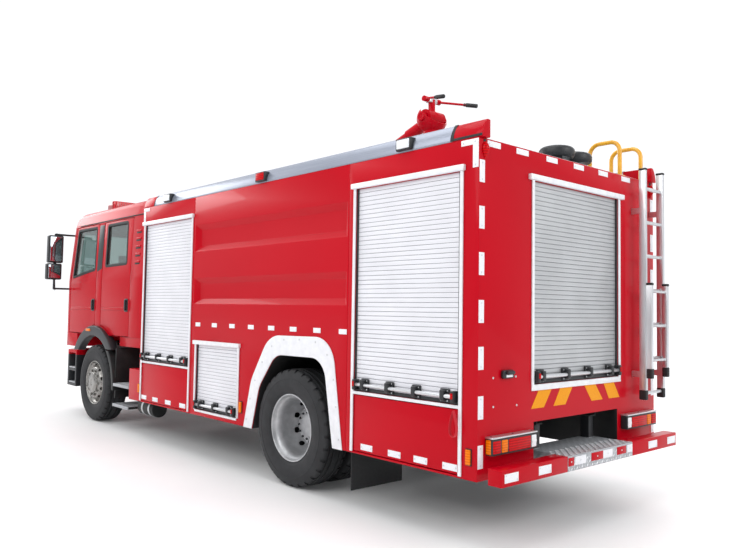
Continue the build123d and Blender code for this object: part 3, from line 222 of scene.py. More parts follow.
red_enamel, place = new_finish("two_pack_red_enamel", {
    "Roughness": 0.3, "Specular IOR Level": 0.06, "Coat Weight": 0.14, "Coat Roughness": 0.03})
cloud = add_node(red_enamel, "TexNoise", {"Scale": 1000 / 1400, "Detail": 3}, {"Vector": place})
add_node(red_enamel, "ValToRGB", {"stops": ((0.25, "#B40217"), (0.75, "#BF041B"))}, {"Fac": cloud},
         into="Base Color")
peel = add_node(red_enamel, "TexNoise", {"Scale": 1000 / 7, "Detail": 1}, {"Vector": place})
add_node(red_enamel, "Bump", {"Strength": 0.03, "Distance": 0.0006}, {"Height": peel}, into="Normal")
for node in ("front_locker", "rear_locker", "water_tank"):
    dress(node, red_enamel, 0.005, 3)

# Roof fascias: extruded aluminium channels along both roof edges, satin anodised,
# with fine die lines along their length. They are bolted to the body's top corner.
satin_anodised, place = new_finish("satin_anodised_aluminium", {"Metallic": 0.55, "Roughness": 0.36})
stretched = add_node(satin_anodised, "Mapping", {"Scale": (1000 / 400, 1000 / 3, 1000 / 3)},
                     {"Vector": place})
lines = add_node(satin_anodised, "TexNoise", {"Scale": 1.0, "Detail": 2}, {"Vector": stretched})
add_node(satin_anodised, "ValToRGB", {"stops": ((0.3, "#9197A5"), (0.7, "#A1A7B4"))}, {"Fac": lines},
         into="Base Color")
add_node(satin_anodised, "Bump", {"Strength": 0.05, "Distance": 0.0004}, {"Height": lines}, into="Normal")
dress("roof_rails", satin_anodised, 0.004)


# Fascia ends: glass-fibre caps in the body's red at the front, and at the back smoked red lamp covers
# with a dark rubber gasket at the joint and along the foot.
def start_box(name, low, high):
    """A box from corner to corner, as the start of a piece."""
    bpy.ops.object.select_all(action="DESELECT")
    bpy.ops.mesh.primitive_cube_add(size=1, location=[(a + b) / 2 for a, b in zip(low, high)])
    piece = bpy.context.object
    piece.name = name
    piece.scale = [abs(b - a) for a, b in zip(low, high)]
    bpy.ops.object.transform_apply(location=True, rotation=True, scale=True)
    return piece


def join_up(name, pieces):
    """Joins pieces into one."""
    only(pieces[0])
    for piece in pieces:
        piece.select_set(True)
    bpy.ops.object.join()
    bpy.context.object.name = name
    return bpy.context.object


def start_line(name, points):
    """A line drawn by extruding one point from place to place, left open in edit mode."""
    bpy.ops.object.select_all(action="DESELECT")
    bpy.ops.mesh.primitive_plane_add(size=0.002, location=points[0])
    bpy.context.object.name = name
    bpy.ops.object.transform_apply(location=True, rotation=True, scale=True)
    bpy.ops.object.mode_set(mode="EDIT")
    bpy.ops.mesh.select_mode(type="VERT")
    bpy.ops.mesh.select_all(action="SELECT")
    bpy.ops.mesh.merge(type="CENTER")
    for here, there in zip(points, points[1:]):
        step = tuple(b - a for a, b in zip(here, there))
        bpy.ops.mesh.extrude_region_move(TRANSFORM_OT_translate={"value": step})
    return bpy.context.object


def close_mesh(piece):
    """Merges doubles and turns all faces outwards, then leaves edit mode."""
    bpy.ops.mesh.select_all(action="SELECT")
    bpy.ops.mesh.remove_doubles(threshold=0.00002)
    bpy.ops.mesh.normals_make_consistent(inside=False)
    bpy.ops.object.mode_set(mode="OBJECT")
    return piece


dress("rail_ends", red_enamel, 0.006, 3)
black_rubber, place = new_finish("black_nitrile_rubber", {"Roughness": 0.62, "IOR": 1.52})
bloom = add_node(black_rubber, "TexNoise", {"Scale": 1000 / 25, "Detail": 4}, {"Vector": place})
add_node(black_rubber, "ValToRGB", {"stops": ((0.3, "#111214"), (0.7, "#1D1E20"))}, {"Fac": bloom},
         into="Base Color")
add_node(black_rubber, "Bump", {"Strength": 0.1, "Distance": 0.0005}, {"Height": bloom}, into="Normal")
rail_low, rail_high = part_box("roof_rails")
gaskets = []
for side in (-1, 1):
    for start, wide in ((rail_low.x - 0.014, 0.028), (rail_high.x - 0.006, 0.012)):
        section = []
        for n in range(9):
            share = n / 8
            lean = 0.054 * share ** 1.75
            section.append((start, side * (1.2525 - lean), 2.782 + 0.1275 * share))
        section.append((start, side * 1.165, 2.9095))
        gasket = start_line("rail_gasket", section)
        bpy.ops.mesh.select_all(action="SELECT")
        bpy.ops.mesh.extrude_region_move(TRANSFORM_OT_translate={"value": (wide, 0, 0)})
        close_mesh(gasket)
        thick = gasket.modifiers.new("wall", "SOLIDIFY")
        thick.thickness = 0.003
        thick.offset = 0
        only(gasket)
        bpy.ops.object.modifier_apply(modifier="wall")
        gaskets.append(gasket)
    foot = start_box("rail_foot", (rail_low.x - 0.272, side * 1.249, 2.783),
                     (rail_low.x - 0.012, side * 1.2525, 2.801))
    gaskets.append(round_edges(foot, 0.001))
carry(round_edges(join_up("rail_gaskets", gaskets), 0), "chassis", black_rubber)

# Rail lamps and roof pods: die-cast lamp heads, powder coated black. Two scene lamps and a red
# flasher stand on each fascia, and two low searchlight pods on the roof behind the shutter.
grained_plastic, place = new_finish("grained_black_plastic", {"Roughness": 0.42, "IOR": 1.49})
grain = add_node(grained_plastic, "TexVoronoi", {"Scale": 1000 / 4}, {"Vector": place})
add_node(grained_plastic, "ValToRGB", {"stops": ((0.2, "#1B1D20"), (0.8, "#26282C"))}, {"Fac": grain},
         into="Base Color")
add_node(grained_plastic, "Bump", {"Strength": 0.12, "Distance": 0.0006}, {"Height": grain}, into="Normal")
dress("roof_lamps", grained_plastic, 0.007, 3)

ribbed_white, place = new_finish("ribbed_clear_lens", {
    "Base Color": linear("#E9EDF0"), "Roughness": 0.12, "IOR": 1.49, "Coat Weight": 0.5})
ribs = add_node(ribbed_white, "TexWave", {"Scale": 1000 / 9 / 6.2832, "bands_direction": "Z"},
                {"Vector": place})
add_node(ribbed_white, "Bump", {"Strength": 0.35, "Distance": 0.002}, {"Height": ribs}, into="Normal")
ribbed_red, place = new_finish("ribbed_red_lens",
                               {"Roughness": 0.2, "Specular IOR Level": 0.08, "Coat Weight": 0.1})
ribs = add_node(ribbed_red, "TexWave", {"Scale": 1000 / 9 / 6.2832, "bands_direction": "Z"},
                {"Vector": place})
add_node(ribbed_red, "ValToRGB", {"stops": ((0.2, "#A8030B"), (0.8, "#CC0610"))}, {"Fac": ribs},
         into="Base Color")
add_node(ribbed_red, "Bump", {"Strength": 0.15, "Distance": 0.002}, {"Height": ribs}, into="Normal")
ribbed_amber, place = new_finish("ribbed_amber_lens",
                                 {"Roughness": 0.2, "Specular IOR Level": 0.1, "Coat Weight": 0.12})
ribs = add_node(ribbed_amber, "TexWave", {"Scale": 1000 / 9 / 6.2832, "bands_direction": "Z"},
                {"Vector": place})
add_node(ribbed_amber, "ValToRGB", {"stops": ((0.2, "#DC6A04"), (0.8, "#F0800C"))}, {"Fac": ribs},
         into="Base Color")
add_node(ribbed_amber, "Bump", {"Strength": 0.35, "Distance": 0.002}, {"Height": ribs}, into="Normal")
for name, lens, places in (("scene_lamp_glass", ribbed_white, (0.549, -3.298)),
                           ("flasher_glass", ribbed_red, (-1.368,))):
    glasses = []
    for x in places:
        for side in (-1, 1):
            glass = start_box(name, (x - 0.066, side * 1.274, 2.803), (x + 0.066, side * 1.2865, 2.872))
            glasses.append(round_edges(glass, 0.006, 3))
    carry(join_up(name, glasses), "chassis", lens)
pod_caps = []
for x, y in ((-3.708, -0.15), (-3.678, -0.47)):
    bpy.ops.object.select_all(action="DESELECT")
    bpy.ops.mesh.primitive_cylinder_add(vertices=48, radius=0.09, depth=0.014, location=(x, y, 2.978))
    cap = bpy.context.object
    bpy.ops.object.transform_apply(location=True, rotation=True, scale=True)
    pod_caps.append(round_edges(cap, 0.005, 3))
carry(join_up("pod_caps", pod_caps), "chassis", grained_plastic)

# Roller shutters: interlocking anodised slats, 35 mm apart, that wind up behind each header.
# Each slat is a rounded extrusion, and a shaded joint shows between it and the next.
slat_alloy, place = new_finish("anodised_shutter_slats", {"Metallic": 0.15, "Roughness": 0.4})
cloud = add_node(slat_alloy, "TexNoise", {"Scale": 1000 / 300, "Detail": 2}, {"Vector": place})
add_node(slat_alloy, "ValToRGB", {"stops": ((0.3, "#E0E0E5"), (0.7, "#E7E7EC"))}, {"Fac": cloud},
         into="Base Color")
# The rear curtain's slats are the same anodised alloy, painted a darker grey: painted shade for the less lit
# rear face.
rear_slat_alloy_painted_shade, place = new_finish("rear_shutter_slats_painted_shade", {"Metallic": 0.5, "Roughness": 0.38})
cloud = add_node(rear_slat_alloy_painted_shade, "TexNoise", {"Scale": 1000 / 300, "Detail": 2}, {"Vector": place})
add_node(rear_slat_alloy_painted_shade, "ValToRGB", {"stops": ((0.3, "#B9BBBD"), (0.7, "#C3C5C7"))}, {"Fac": cloud},
         into="Base Color")
slat_joint, place = new_finish("shaded_slat_joint", {"Roughness": 0.6})
cloud = add_node(slat_joint, "TexNoise", {"Scale": 1000 / 50, "Detail": 2}, {"Vector": place})
add_node(slat_joint, "ValToRGB", {"stops": ((0.3, "#6E7176"), (0.7, "#7D8085"))}, {"Fac": cloud},
         into="Base Color")


def coated(piece, finish):
    """Gives one part of a piece its material before it is joined."""
    piece.data.materials.clear()
    piece.data.materials.append(finish)
    return piece


def facing(at, outward, up=(0, 0, 1)):
    """A place on a surface, where local Z points outwards and local Y up."""
    out = Vector(outward).normalized()
    sideways = Vector(up).cross(out).normalized()
    return Matrix.Translation(at) @ Matrix((sideways, out.cross(sideways), out)).transposed().to_4x4()


def copy_to(model, name, places):
    """Copies a modelled piece to each place, each with its own mesh, and joins the copies."""
    copies = []
    for place in places:
        copy = bpy.data.objects.new(name, model.data.copy())
        bpy.context.scene.collection.objects.link(copy)
        copy.data.transform(place)
        if place.determinant() < 0:
            copy.data.flip_normals()
        copies.append(copy)
    bpy.data.objects.remove(model)
    return join_up(name, copies)


def curtain(width, height, finish):
    """A shut curtain in its own plane: rounded slats from the sill to the header, on a shaded backing."""
    count = round(height / 0.035)
    pitch = height / count
    slats = start_box("slats", (-width / 2, 0.0014, -0.016), (width / 2, pitch - 0.0014, 0))
    round_edges(slats, 0.0042, 3)
    rows = slats.modifiers.new("rows", "ARRAY")
    rows.count = count
    rows.use_relative_offset = False
    rows.use_constant_offset = True
    rows.constant_offset_displace = (0, pitch, 0)
    bpy.ops.object.modifier_apply(modifier="rows")
    backing = start_box("backing", (-width / 2, 0, -0.022), (width / 2, height, -0.006))
    return join_up("curtain", [coated(slats, finish), coated(backing, slat_joint)])


side_openings = (((-0.023, 1.122), 0.935, 2.56), ((-1.015, -0.193), 0.505, 1.19),
                 ((-3.848, -2.748), 0.935, 2.56))
curtains = []
for (x0, x1), bottom, top in side_openings:
    places = [facing(((x0 + x1) / 2, side * 1.236, bottom), (0, side, 0)) for side in (-1, 1)]
    curtains.append(copy_to(curtain(x1 - x0, top - bottom, slat_alloy), "curtain", places))
# The rear curtain takes the darker slats, which carry painted shade.
curtains.append(copy_to(curtain(1.22, 1.505, rear_slat_alloy_painted_shade), "curtain",
                        [facing((-3.994, 0, 1.055), (-1, 0, 0))]))
shutters = carry(join_up("roller_shutter_curtains", curtains), "chassis", None)
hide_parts("roller_shutters")

# Shutter frames: pale aluminium channels screwed round each opening, with a drip header on top,
# and a black brush seal down both sides of the curtain.
white_alloy, place = new_finish("powder_coated_white_aluminium", {"Metallic": 0.15, "Roughness": 0.36})
cloud = add_node(white_alloy, "TexNoise", {"Scale": 1000 / 60, "Detail": 3}, {"Vector": place})
add_node(white_alloy, "ValToRGB", {"stops": ((0.3, "#E2E3E7"), (0.7, "#EDEEF1"))}, {"Fac": cloud},
         into="Base Color")
add_node(white_alloy, "Bump", {"Strength": 0.04, "Distance": 0.0004}, {"Height": cloud}, into="Normal")
dress("shutter_frames", white_alloy, 0.004)
seals = []
for (x0, x1), bottom, top in side_openings:
    for side in (-1, 1):
        for low, high in ((x0, x0 + 0.017), (x1 - 0.017, x1)):
            seal = start_box("seal", (low, side * 1.2362, bottom), (high, side * 1.2475, top))
            seals.append(round_edges(seal, 0.003))
for low, high in ((-0.61, -0.59), (0.59, 0.61)):
    seal = start_box("seal", (-4.0055, low, 1.055), (-3.9942, high, 2.56))
    seals.append(round_edges(seal, 0.003))
carry(join_up("shutter_seals", seals), "chassis", black_rubber)


# Lift bars: bright tubes across the foot of each curtain, held by black cast latch brackets
# that are screwed to a dark bottom slat, with a red release at both ends.
def start_disc(name, radius, low, high, sides=24):
    """A short cylinder on the local Z axis, as the start of a piece."""
    bpy.ops.object.select_all(action="DESELECT")
    bpy.ops.mesh.primitive_cylinder_add(vertices=sides, radius=radius, depth=high - low,
                                        location=(0, 0, (low + high) / 2))
    piece = bpy.context.object
    piece.name = name
    bpy.ops.object.transform_apply(location=True, rotation=True, scale=True)
    return piece


brushed_alloy, place = new_finish("brushed_aluminium", {"Metallic": 0.85, "Roughness": 0.33})
stretched = add_node(brushed_alloy, "Mapping", {"Scale": (1000 / 3, 1000 / 3, 1000 / 120)}, {"Vector": place})
lines = add_node(brushed_alloy, "TexNoise", {"Scale": 1.0, "Detail": 2}, {"Vector": stretched})
add_node(brushed_alloy, "ValToRGB", {"stops": ((0.3, "#C9CBCE"), (0.7, "#DDDFE1"))}, {"Fac": lines},
         into="Base Color")
add_node(brushed_alloy, "Bump", {"Strength": 0.08, "Distance": 0.0004}, {"Height": lines}, into="Normal")
dress("lift_bars", brushed_alloy, 0.002)

base = coated(round_edges(start_box("bracket", (-0.042, -0.048, 0), (0.042, 0.048, 0.02)), 0.006, 3),
              grained_plastic)
hook = coated(round_edges(start_box("hook", (-0.021, -0.034, 0.012), (0.021, 0.04, 0.054)), 0.008, 3),
              grained_plastic)
screws = []
for x in (-0.03, 0.03):
    for y in (-0.034, 0.034):
        screw = start_disc("screw", 0.0055, 0.019, 0.0235, 12)
        screw.data.transform(Matrix.Translation((x, y, 0)))
        screws.append(coated(round_edges(screw, 0.0015), brushed_alloy))
bracket = join_up("bracket", [base, hook] + screws)
bracket_places = [facing((-3.994, y, 1.112), (-1, 0, 0)) for y in (0.519, 0.19, -0.136, -0.461)]
latch_places = [facing((-3.994, y, 1.108), (-1, 0, 0)) for y in (-0.585, 0.585)]
strips = [start_box("bottom_slat", (-4.0035, -0.59, 1.057), (-3.993, 0.59, 1.086))]
for (x0, x1), bottom, top in side_openings:
    count = 4 if x1 - x0 > 1 else 3
    for side in (-1, 1):
        for n in range(count):
            x = x0 + 0.13 + (x1 - x0 - 0.26) * n / (count - 1)
            bracket_places.append(facing((x, side * 1.236, bottom + 0.056), (0, side, 0)))
        latch_places += [facing((x, side * 1.236, bottom + 0.052), (0, side, 0))
                         for x in (x0 + 0.035, x1 - 0.035)]
        strips.append(start_box("bottom_slat", (x0 + 0.018, side * 1.235, bottom + 0.002),
                                (x1 - 0.018, side * 1.2455, bottom + 0.03)))
carry(copy_to(bracket, "lift_bar_brackets", bracket_places), "chassis", None)
carry(round_edges(join_up("bottom_slats", strips), 0.003), "chassis", grained_plastic)
latch = coated(round_edges(start_box("latch", (-0.017, -0.04, 0), (0.017, 0.044, 0.056)), 0.008, 3),
               grained_plastic)
release = coated(round_edges(start_box("release", (-0.011, -0.012, 0.05), (0.011, 0.03, 0.0605)), 0.004, 3),
                 ribbed_red)
carry(copy_to(join_up("latch", [latch, release]), "lift_bar_latches", latch_places), "chassis", None)

# Folding steps: red steel flaps under the side lockers, hinged along the foot.
# Each has a stiffening pan pressed inside, and a pale edge strip where it meets the curtain's sill.
for end in ("front", "rear"):
    for side, sign in (("left", 1), ("right", -1)):
        name = f"flap_{end}_{side}"
        dress(name, red_enamel, 0.004, 3)
        low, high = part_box(name)
        inner = sorted((sign * 1.2165, sign * 1.2205))
        pan = start_box(name + "_tread", (low.x + 0.05, inner[0], low.z + 0.06),
                        (high.x - 0.05, inner[1], high.z - 0.05))
        carry(round_edges(pan, 0.0015), name, brushed_alloy)

# Marking plates: small white aluminium plates with prismatic film, pop-riveted along the body's edges,
# so that the truck's outline shows at night. The film has a fine honeycomb, drawn coarse enough to show.
prism_film, place = new_finish("white_prismatic_film", {"Roughness": 0.3, "IOR": 1.5, "Coat Weight": 0.3})
cells = add_node(prism_film, "TexVoronoi", {"Scale": 1000 / 6}, {"Vector": place})
add_node(prism_film, "ValToRGB", {"stops": ((0.1, "#F4F4F6"), (0.6, "#E4E5EA"))}, {"Fac": cells},
         into="Base Color")
add_node(prism_film, "Bump", {"Strength": 0.15, "Distance": 0.0006}, {"Height": cells}, into="Normal")


def riveted_plate(width, height, rivets):
    """A thin plate in its own plane with domed rivet heads at the given places."""
    parts = [coated(round_edges(start_box("plate", (-width / 2, -height / 2, 0),
                                          (width / 2, height / 2, 0.0025)), 0.001), prism_film)]
    for x, y in rivets:
        head = start_disc("rivet", 0.0065, 0.001, 0.0052, 14)
        head.data.transform(Matrix.Translation((x, y, 0)))
        parts.append(coated(round_edges(head, 0.0025, 3), brushed_alloy))
    return join_up("plate", parts)


edge_heights = (2.546, 2.226, 1.908, 1.583, 1.266, 0.933, 0.604)
edge_places = [facing((-4.008, side * 1.216, z), (-1, 0, 0)) for side in (-1, 1) for z in edge_heights]
edge_plate = riveted_plate(0.056, 0.156, ((0, 0.058), (0, -0.058)))
carry(copy_to(edge_plate, "rear_edge_plates", edge_places), "chassis", None)
top_places = [facing((-4.008, y, 2.748), (-1, 0, 0)) for y in (1.087, 0.754, 0.376, 0.0, -0.373, -0.748)]
carry(copy_to(riveted_plate(0.148, 0.042, ((-0.055, 0),)), "rear_top_plates", top_places), "chassis", None)
dash_places = [facing((-0.206 - 0.342 * n, side * 1.25, 1.4), (0, side, 0)) for side in (-1, 1)
               for n in range(8)]
carry(copy_to(riveted_plate(0.1, 0.042, ()), "tank_side_plates", dash_places), "chassis", None)
for name, spots in (("flap_front", (1.045, 0.75, 0.43, 0.09)), ("flap_rear", (-2.91, -3.22, -3.49, -3.77))):
    for side, sign in (("left", 1), ("right", -1)):
        places = [facing((x, sign * 1.25, 0.505), (0, sign, 0)) for x in spots]
        plates = copy_to(riveted_plate(0.135, 0.048, ((-0.055, 0), (0.055, 0))), f"{name}_{side}_plates",
                         places)
        carry(plates, f"{name}_{side}", None)
corners = []
for side in (-1, 1):
    for edge, along in ((-4.005, 1), (1.189, -1)):
        flat = (edge, edge + along * 0.155)
        tall = (edge, edge + along * 0.05)
        leg = start_box("corner", (min(flat), side * 1.25, 2.731), (max(flat), side * 1.2525, 2.771))
        drop = start_box("corner", (min(tall), side * 1.25, 2.57), (max(tall), side * 1.2525, 2.731))
        corners += [coated(round_edges(leg, 0.001), prism_film), coated(round_edges(drop, 0.001), prism_film)]
        for x, z in ((flat[1] - along * 0.02, 2.751), (flat[0] + along * 0.03, 2.751),
                     (flat[0] + along * 0.025, 2.59)):
            head = start_disc("rivet", 0.0065, 0.001, 0.0052, 14)
            head.data.transform(facing((x, side * 1.25, z), (0, side, 0)))
            corners.append(coated(round_edges(head, 0.0025, 3), brushed_alloy))
carry(join_up("corner_plates", corners), "chassis", None)

# Wheel arch trims: broad folded plates, powder coated white, round the rear wheels,
# held by a row of small screws near the outer edge.
dress("arch_trims", white_alloy, 0.003)
screw_places = []
for side in (-1, 1):
    for x, z in ((-0.71, 0.52), (-0.667, 0.78), (-0.63, 1.0), (-0.54, 1.2), (-0.38, 1.3), (-0.15, 1.312),
                 (0.08, 1.302),
                 (0.27, 1.235), (0.42, 1.08), (0.535, 0.9), (0.612, 0.72), (0.672, 0.52)):
        screw_places.append(facing((-1.87 + x, side * 1.258, z), (0, side, 0)))
screw = coated(round_edges(start_disc("trim_screw", 0.009, 0, 0.004, 16), 0.002), brushed_alloy)
carry(copy_to(screw, "arch_trim_screws", screw_places), "chassis", None)

# Side markers: ribbed amber lenses moulded in acrylic, seated in black rubber bases
# and screwed to the lower edge of each side.
marker_base = coated(round_edges(start_box("base", (-0.026, -0.058, 0), (0.026, 0.058, 0.006)), 0.003),
                     black_rubber)
marker_lens = coated(round_edges(start_box("lens", (-0.021, -0.052, 0.004), (0.021, 0.052, 0.02)), 0.007, 3),
                     ribbed_amber)
marker_places = [facing((x, side * 1.25, z), (0, side, 0)) for side in (-1, 1)
                 for x, z in ((-3.94, 0.597), (-1.091, 0.62), (1.172, 0.6))]
carry(copy_to(join_up("marker", [marker_base, marker_lens]), "side_markers", marker_places), "chassis", None)

# Rear wall: hazard stripes of amber film under the shutter, a plate lamp with its four blank screw holes,
# and red teardrop clearance lamps at the top corners.
amber_film, place = new_finish("amber_reflective_film", {"Roughness": 0.35, "Specular IOR Level": 0.15})
cells = add_node(amber_film, "TexVoronoi", {"Scale": 1000 / 6}, {"Vector": place})
add_node(amber_film, "ValToRGB", {"stops": ((0.1, "#F2A400"), (0.6, "#E89400"))}, {"Fac": cells},
         into="Base Color")
add_node(amber_film, "Bump", {"Strength": 0.12, "Distance": 0.0006}, {"Height": cells}, into="Normal")
stripes = []
for top0, top1, foot0, foot1 in ((0.545, 0.375, 0.638, 0.475), (0.261, 0.09, 0.35, 0.189),
                                 (-0.084, -0.25, -0.19, -0.361),
                                 (-0.377, -0.54, -0.46, -0.631)):
    stripe = start_line("hazard_stripe", [(-4.0082, foot0, 0.88), (-4.0082, top0, 1.008),
                                          (-4.0082, top1, 1.008),
                                          (-4.0082, foot1, 0.88), (-4.0082, foot0, 0.88)])
    bpy.ops.mesh.select_all(action="SELECT")
    bpy.ops.mesh.remove_doubles(threshold=0.0001)
    bpy.ops.mesh.edge_face_add()
    bpy.ops.mesh.extrude_region_move(TRANSFORM_OT_translate={"value": (-0.0015, 0, 0)})
    close_mesh(stripe)
    stripes.append(round_edges(stripe, 0.0004, 1))
carry(join_up("hazard_stripes", stripes), "chassis", amber_film)
shell = coated(round_edges(start_box("lamp", (-0.062, -0.03, 0), (0.062, 0.03, 0.03)), 0.012, 4),
               grained_plastic)
hood = coated(round_edges(start_box("hood", (-0.04, 0.0, 0.02), (0.04, 0.026, 0.056)), 0.01, 3),
              grained_plastic)
pane = coated(round_edges(start_box("pane", (-0.035, -0.02, 0.026), (0.035, 0.0, 0.036)), 0.005, 3),
              ribbed_white)
carry(copy_to(join_up("plate_lamp", [shell, hood, pane]), "plate_lamp",
              [facing((-4.008, 0.937, 1.147), (-1, 0, 0))]),
      "chassis", None)
hole_places = [facing((-4.008, y, z), (-1, 0, 0))
               for y, z in ((1.082, 1.127), (0.824, 1.125), (1.08, 0.929), (0.813, 0.922))]
carry(copy_to(coated(round_edges(start_disc("screw", 0.008, 0, 0.004, 16), 0.002), brushed_alloy),
              "plate_screws", hole_places),
      "chassis", None)
drops = []
for side in (-1, 1):
    bpy.ops.object.select_all(action="DESELECT")
    bpy.ops.mesh.primitive_uv_sphere_add(segments=32, ring_count=20, radius=0.04,
                                         location=(-4.012, side * 1.19, 2.7))
    drop = bpy.context.object
    bpy.ops.object.transform_apply(location=True, rotation=True, scale=True)
    bpy.ops.object.mode_set(mode="EDIT")
    bpy.ops.mesh.select_all(action="SELECT")
    bpy.ops.transform.resize(value=(0.75, 0.75, 1.35), center_override=(-4.012, side * 1.19, 2.7))
    mesh = bmesh.from_edit_mesh(drop.data)
    for level, narrow in ((2.69, 0.88), (2.672, 0.8), (2.658, 0.7)):
        bpy.ops.mesh.select_all(action="DESELECT")
        mesh = bmesh.from_edit_mesh(drop.data)
        for vert in mesh.verts:
            vert.select_set(vert.co.z < level)
        mesh.select_flush(True)
        bmesh.update_edit_mesh(drop.data)
        bpy.ops.transform.resize(value=(narrow, narrow, 1.12), center_override=(-4.012, side * 1.19, level))
    close_mesh(drop)
    drops.append(coated(round_edges(drop, 0), ribbed_red))
    mount = start_box("mount", (-4.012, side * 1.19 - 0.014, 2.742), (-3.99, side * 1.19 + 0.014, 2.772))
    drops.append(coated(round_edges(mount, 0.005, 3), black_rubber))
carry(join_up("teardrop_lamps", drops), "chassis", None)

# Tail lamps: five-chamber clusters in black housings under a folded alloy guard plate,
# with an amber end that wraps the corner, then red, amber, red and a clear reversing chamber.
clusters = []
for side in (-1, 1):
    housing = start_box("housing", (-4.071, side * 0.652, 0.61), (-4.008, side * 1.164, 0.722))
    clusters.append(coated(round_edges(housing, 0.008, 3), grained_plastic))
    guard = start_box("guard", (-4.076, side * 0.65, 0.7235), (-4.008, side * 1.165, 0.735))
    clusters.append(coated(round_edges(guard, 0.003), brushed_alloy))
    for inner, outer, lens in ((0.657, 0.722, ribbed_white), (0.725, 0.988, ribbed_red),
                               (0.991, 1.066, ribbed_amber),
                               (1.069, 1.16, ribbed_red)):
        chamber = start_box("chamber", (-4.0755, side * (inner + 0.002), 0.622),
                            (-4.06, side * (outer - 0.002), 0.711))
        clusters.append(coated(round_edges(chamber, 0.009, 4), lens))
        ring = start_disc("reflector", min(0.03, (outer - inner) / 2 - 0.006), 0, 0.0015, 32)
        ring.data.transform(facing((-4.0752, side * (inner + outer) / 2, 0.667), (-1, 0, 0)))
        clusters.append(coated(round_edges(ring, 0.0005, 1), lens))
    wrap = start_box("wrap", (-4.058, side * 1.158, 0.618), (-4.014, side * 1.1655, 0.717))
    clusters.append(coated(round_edges(wrap, 0.003, 2), ribbed_amber))
    for y in (0.675, 0.9, 1.14):
        screw = start_disc("screw", 0.006, 0, 0.003, 12)
        screw.data.transform(facing((-4.04, side * y, 0.7345), (0, 0, 1), (1, 0, 0)))
        clusters.append(coated(screw, grained_plastic))
tail_lamps = carry(join_up("tail_lamps", clusters), "chassis", None)
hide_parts("rear_lamps")

# Rear bumper: folded red steel ends with white plates, either side of an aluminium tread-plate step.
# The step's lozenges are rolled up from the sheet in alternating directions, so boots grip both ways.
dress("rear_bumper", red_enamel, 0.006, 3)
bumper_places = [facing((-4.21, y, 0.495), (-1, 0, 0)) for y in (1.14, 0.757, -0.812, -1.15)]
carry(copy_to(riveted_plate(0.15, 0.06, ((-0.06, 0.018), (0.06, -0.018))), "rear_bumper_plates",
              bumper_places),
      "chassis", None)
rolled_alloy, place = new_finish("rolled_aluminium_tread_plate", {"Metallic": 0.3, "Roughness": 0.4})
grid = add_node(rolled_alloy, "TexChecker", {"Scale": 1000 / 32}, {"Vector": place}, out=1)
strokes = []
for turned in (0.7854, -0.7854):
    slant = add_node(rolled_alloy, "Mapping", {"Rotation": (turned, 0, turned)}, {"Vector": place})
    strokes.append(add_node(rolled_alloy, "TexWave", {"Scale": 1000 / 22 / 6.2832, "wave_profile": "SIN"},
                            {"Vector": slant}, out=1))
raised = add_node(rolled_alloy, "Mix", {"data_type": "FLOAT"}, {0: grid, 2: strokes[0], 3: strokes[1]})
# The grey follows the raised pattern, lighter on the lozenges and darker between them: painted highlight and
# painted shade.
add_node(rolled_alloy, "ValToRGB", {"stops": ((0.3, "#A2A5A9"), (0.9, "#B4B7BB"))}, {"Fac": raised},
         into="Base Color")
add_node(rolled_alloy, "Bump", {"Strength": 0.12, "Distance": 0.001}, {"Height": raised}, into="Normal")
rear_step = dress("rear_step", rolled_alloy, 0.003)
rear_step.data.materials.append(grained_plastic)
for face in rear_step.data.polygons:
    face.material_index = 1 if face.center.z > 0.556 else 0


def lozenge():
    """One raised lozenge of tread plate in its own plane: a small box drawn to points at both ends."""
    bump = start_box("lozenge", (-0.017, -0.0045, -0.0005), (0.017, 0.0045, 0.002))
    bpy.ops.object.mode_set(mode="EDIT")
    bpy.ops.mesh.select_all(action="SELECT")
    bpy.ops.mesh.subdivide(number_cuts=1)
    mesh = bmesh.from_edit_mesh(bump.data)
    for vert in mesh.verts:
        vert.select_set(abs(vert.co.x) > 0.01)
    mesh.select_flush(True)
    bmesh.update_edit_mesh(bump.data)
    bpy.ops.transform.resize(value=(1, 0.15, 1), center_override=(0, 0, 0))
    for vert in mesh.verts:
        vert.select_set(vert.co.z > 0.001)
    mesh.select_flush(True)
    bmesh.update_edit_mesh(bump.data)
    bpy.ops.transform.resize(value=(0.8, 0.6, 1), center_override=(0, 0, 0))
    close_mesh(bump)
    # The lozenge is coated in the brighter brushed alloy, not the plate's grey: a painted highlight on the
    # raised lozenges.
    return coated(round_edges(bump, 0), brushed_alloy)


step_places = [facing((-4.1935 + 0.031 * i, -0.455 + 0.035 * j, 0.55), (0, 0, 1), (1, 0, 0))
               @ Matrix.Rotation(math.radians(45 if (i + j) % 2 else -45), 4,
                                 "Z") for i in range(6) for j in range(27)]
step_places += [facing((-4.21, -0.455 + 0.035 * j, 0.452 + 0.029 * i), (-1, 0, 0))
                @ Matrix.Rotation(math.radians(45 if (i + j) % 2 else -45), 4,
                                  "Z") for i in range(3) for j in range(27)]
carry(copy_to(lozenge(), "rear_step_lozenges", step_places), "chassis", None)
chips = []
for y0, y1, film in ((0.466, 0.391, red_enamel), (0.376, 0.229, prism_film), (0.154, -0.013, red_enamel),
                     (-0.013, -0.153, prism_film),
                     (-0.223, -0.364, red_enamel), (-0.38, -0.464, prism_film)):
    chip = start_box("chip", (-4.2125, y1, 0.476), (-4.209, y0, 0.536))
    chips.append(coated(round_edges(chip, 0.001), film))
    head = start_disc("rivet", 0.0065, 0.001, 0.005, 14)
    head.data.transform(facing((-4.2105, (y0 + y1) / 2, 0.506), (-1, 0, 0)))
    chips.append(coated(round_edges(head, 0.002), brushed_alloy))
carry(join_up("rear_step_chips", chips), "chassis", None)

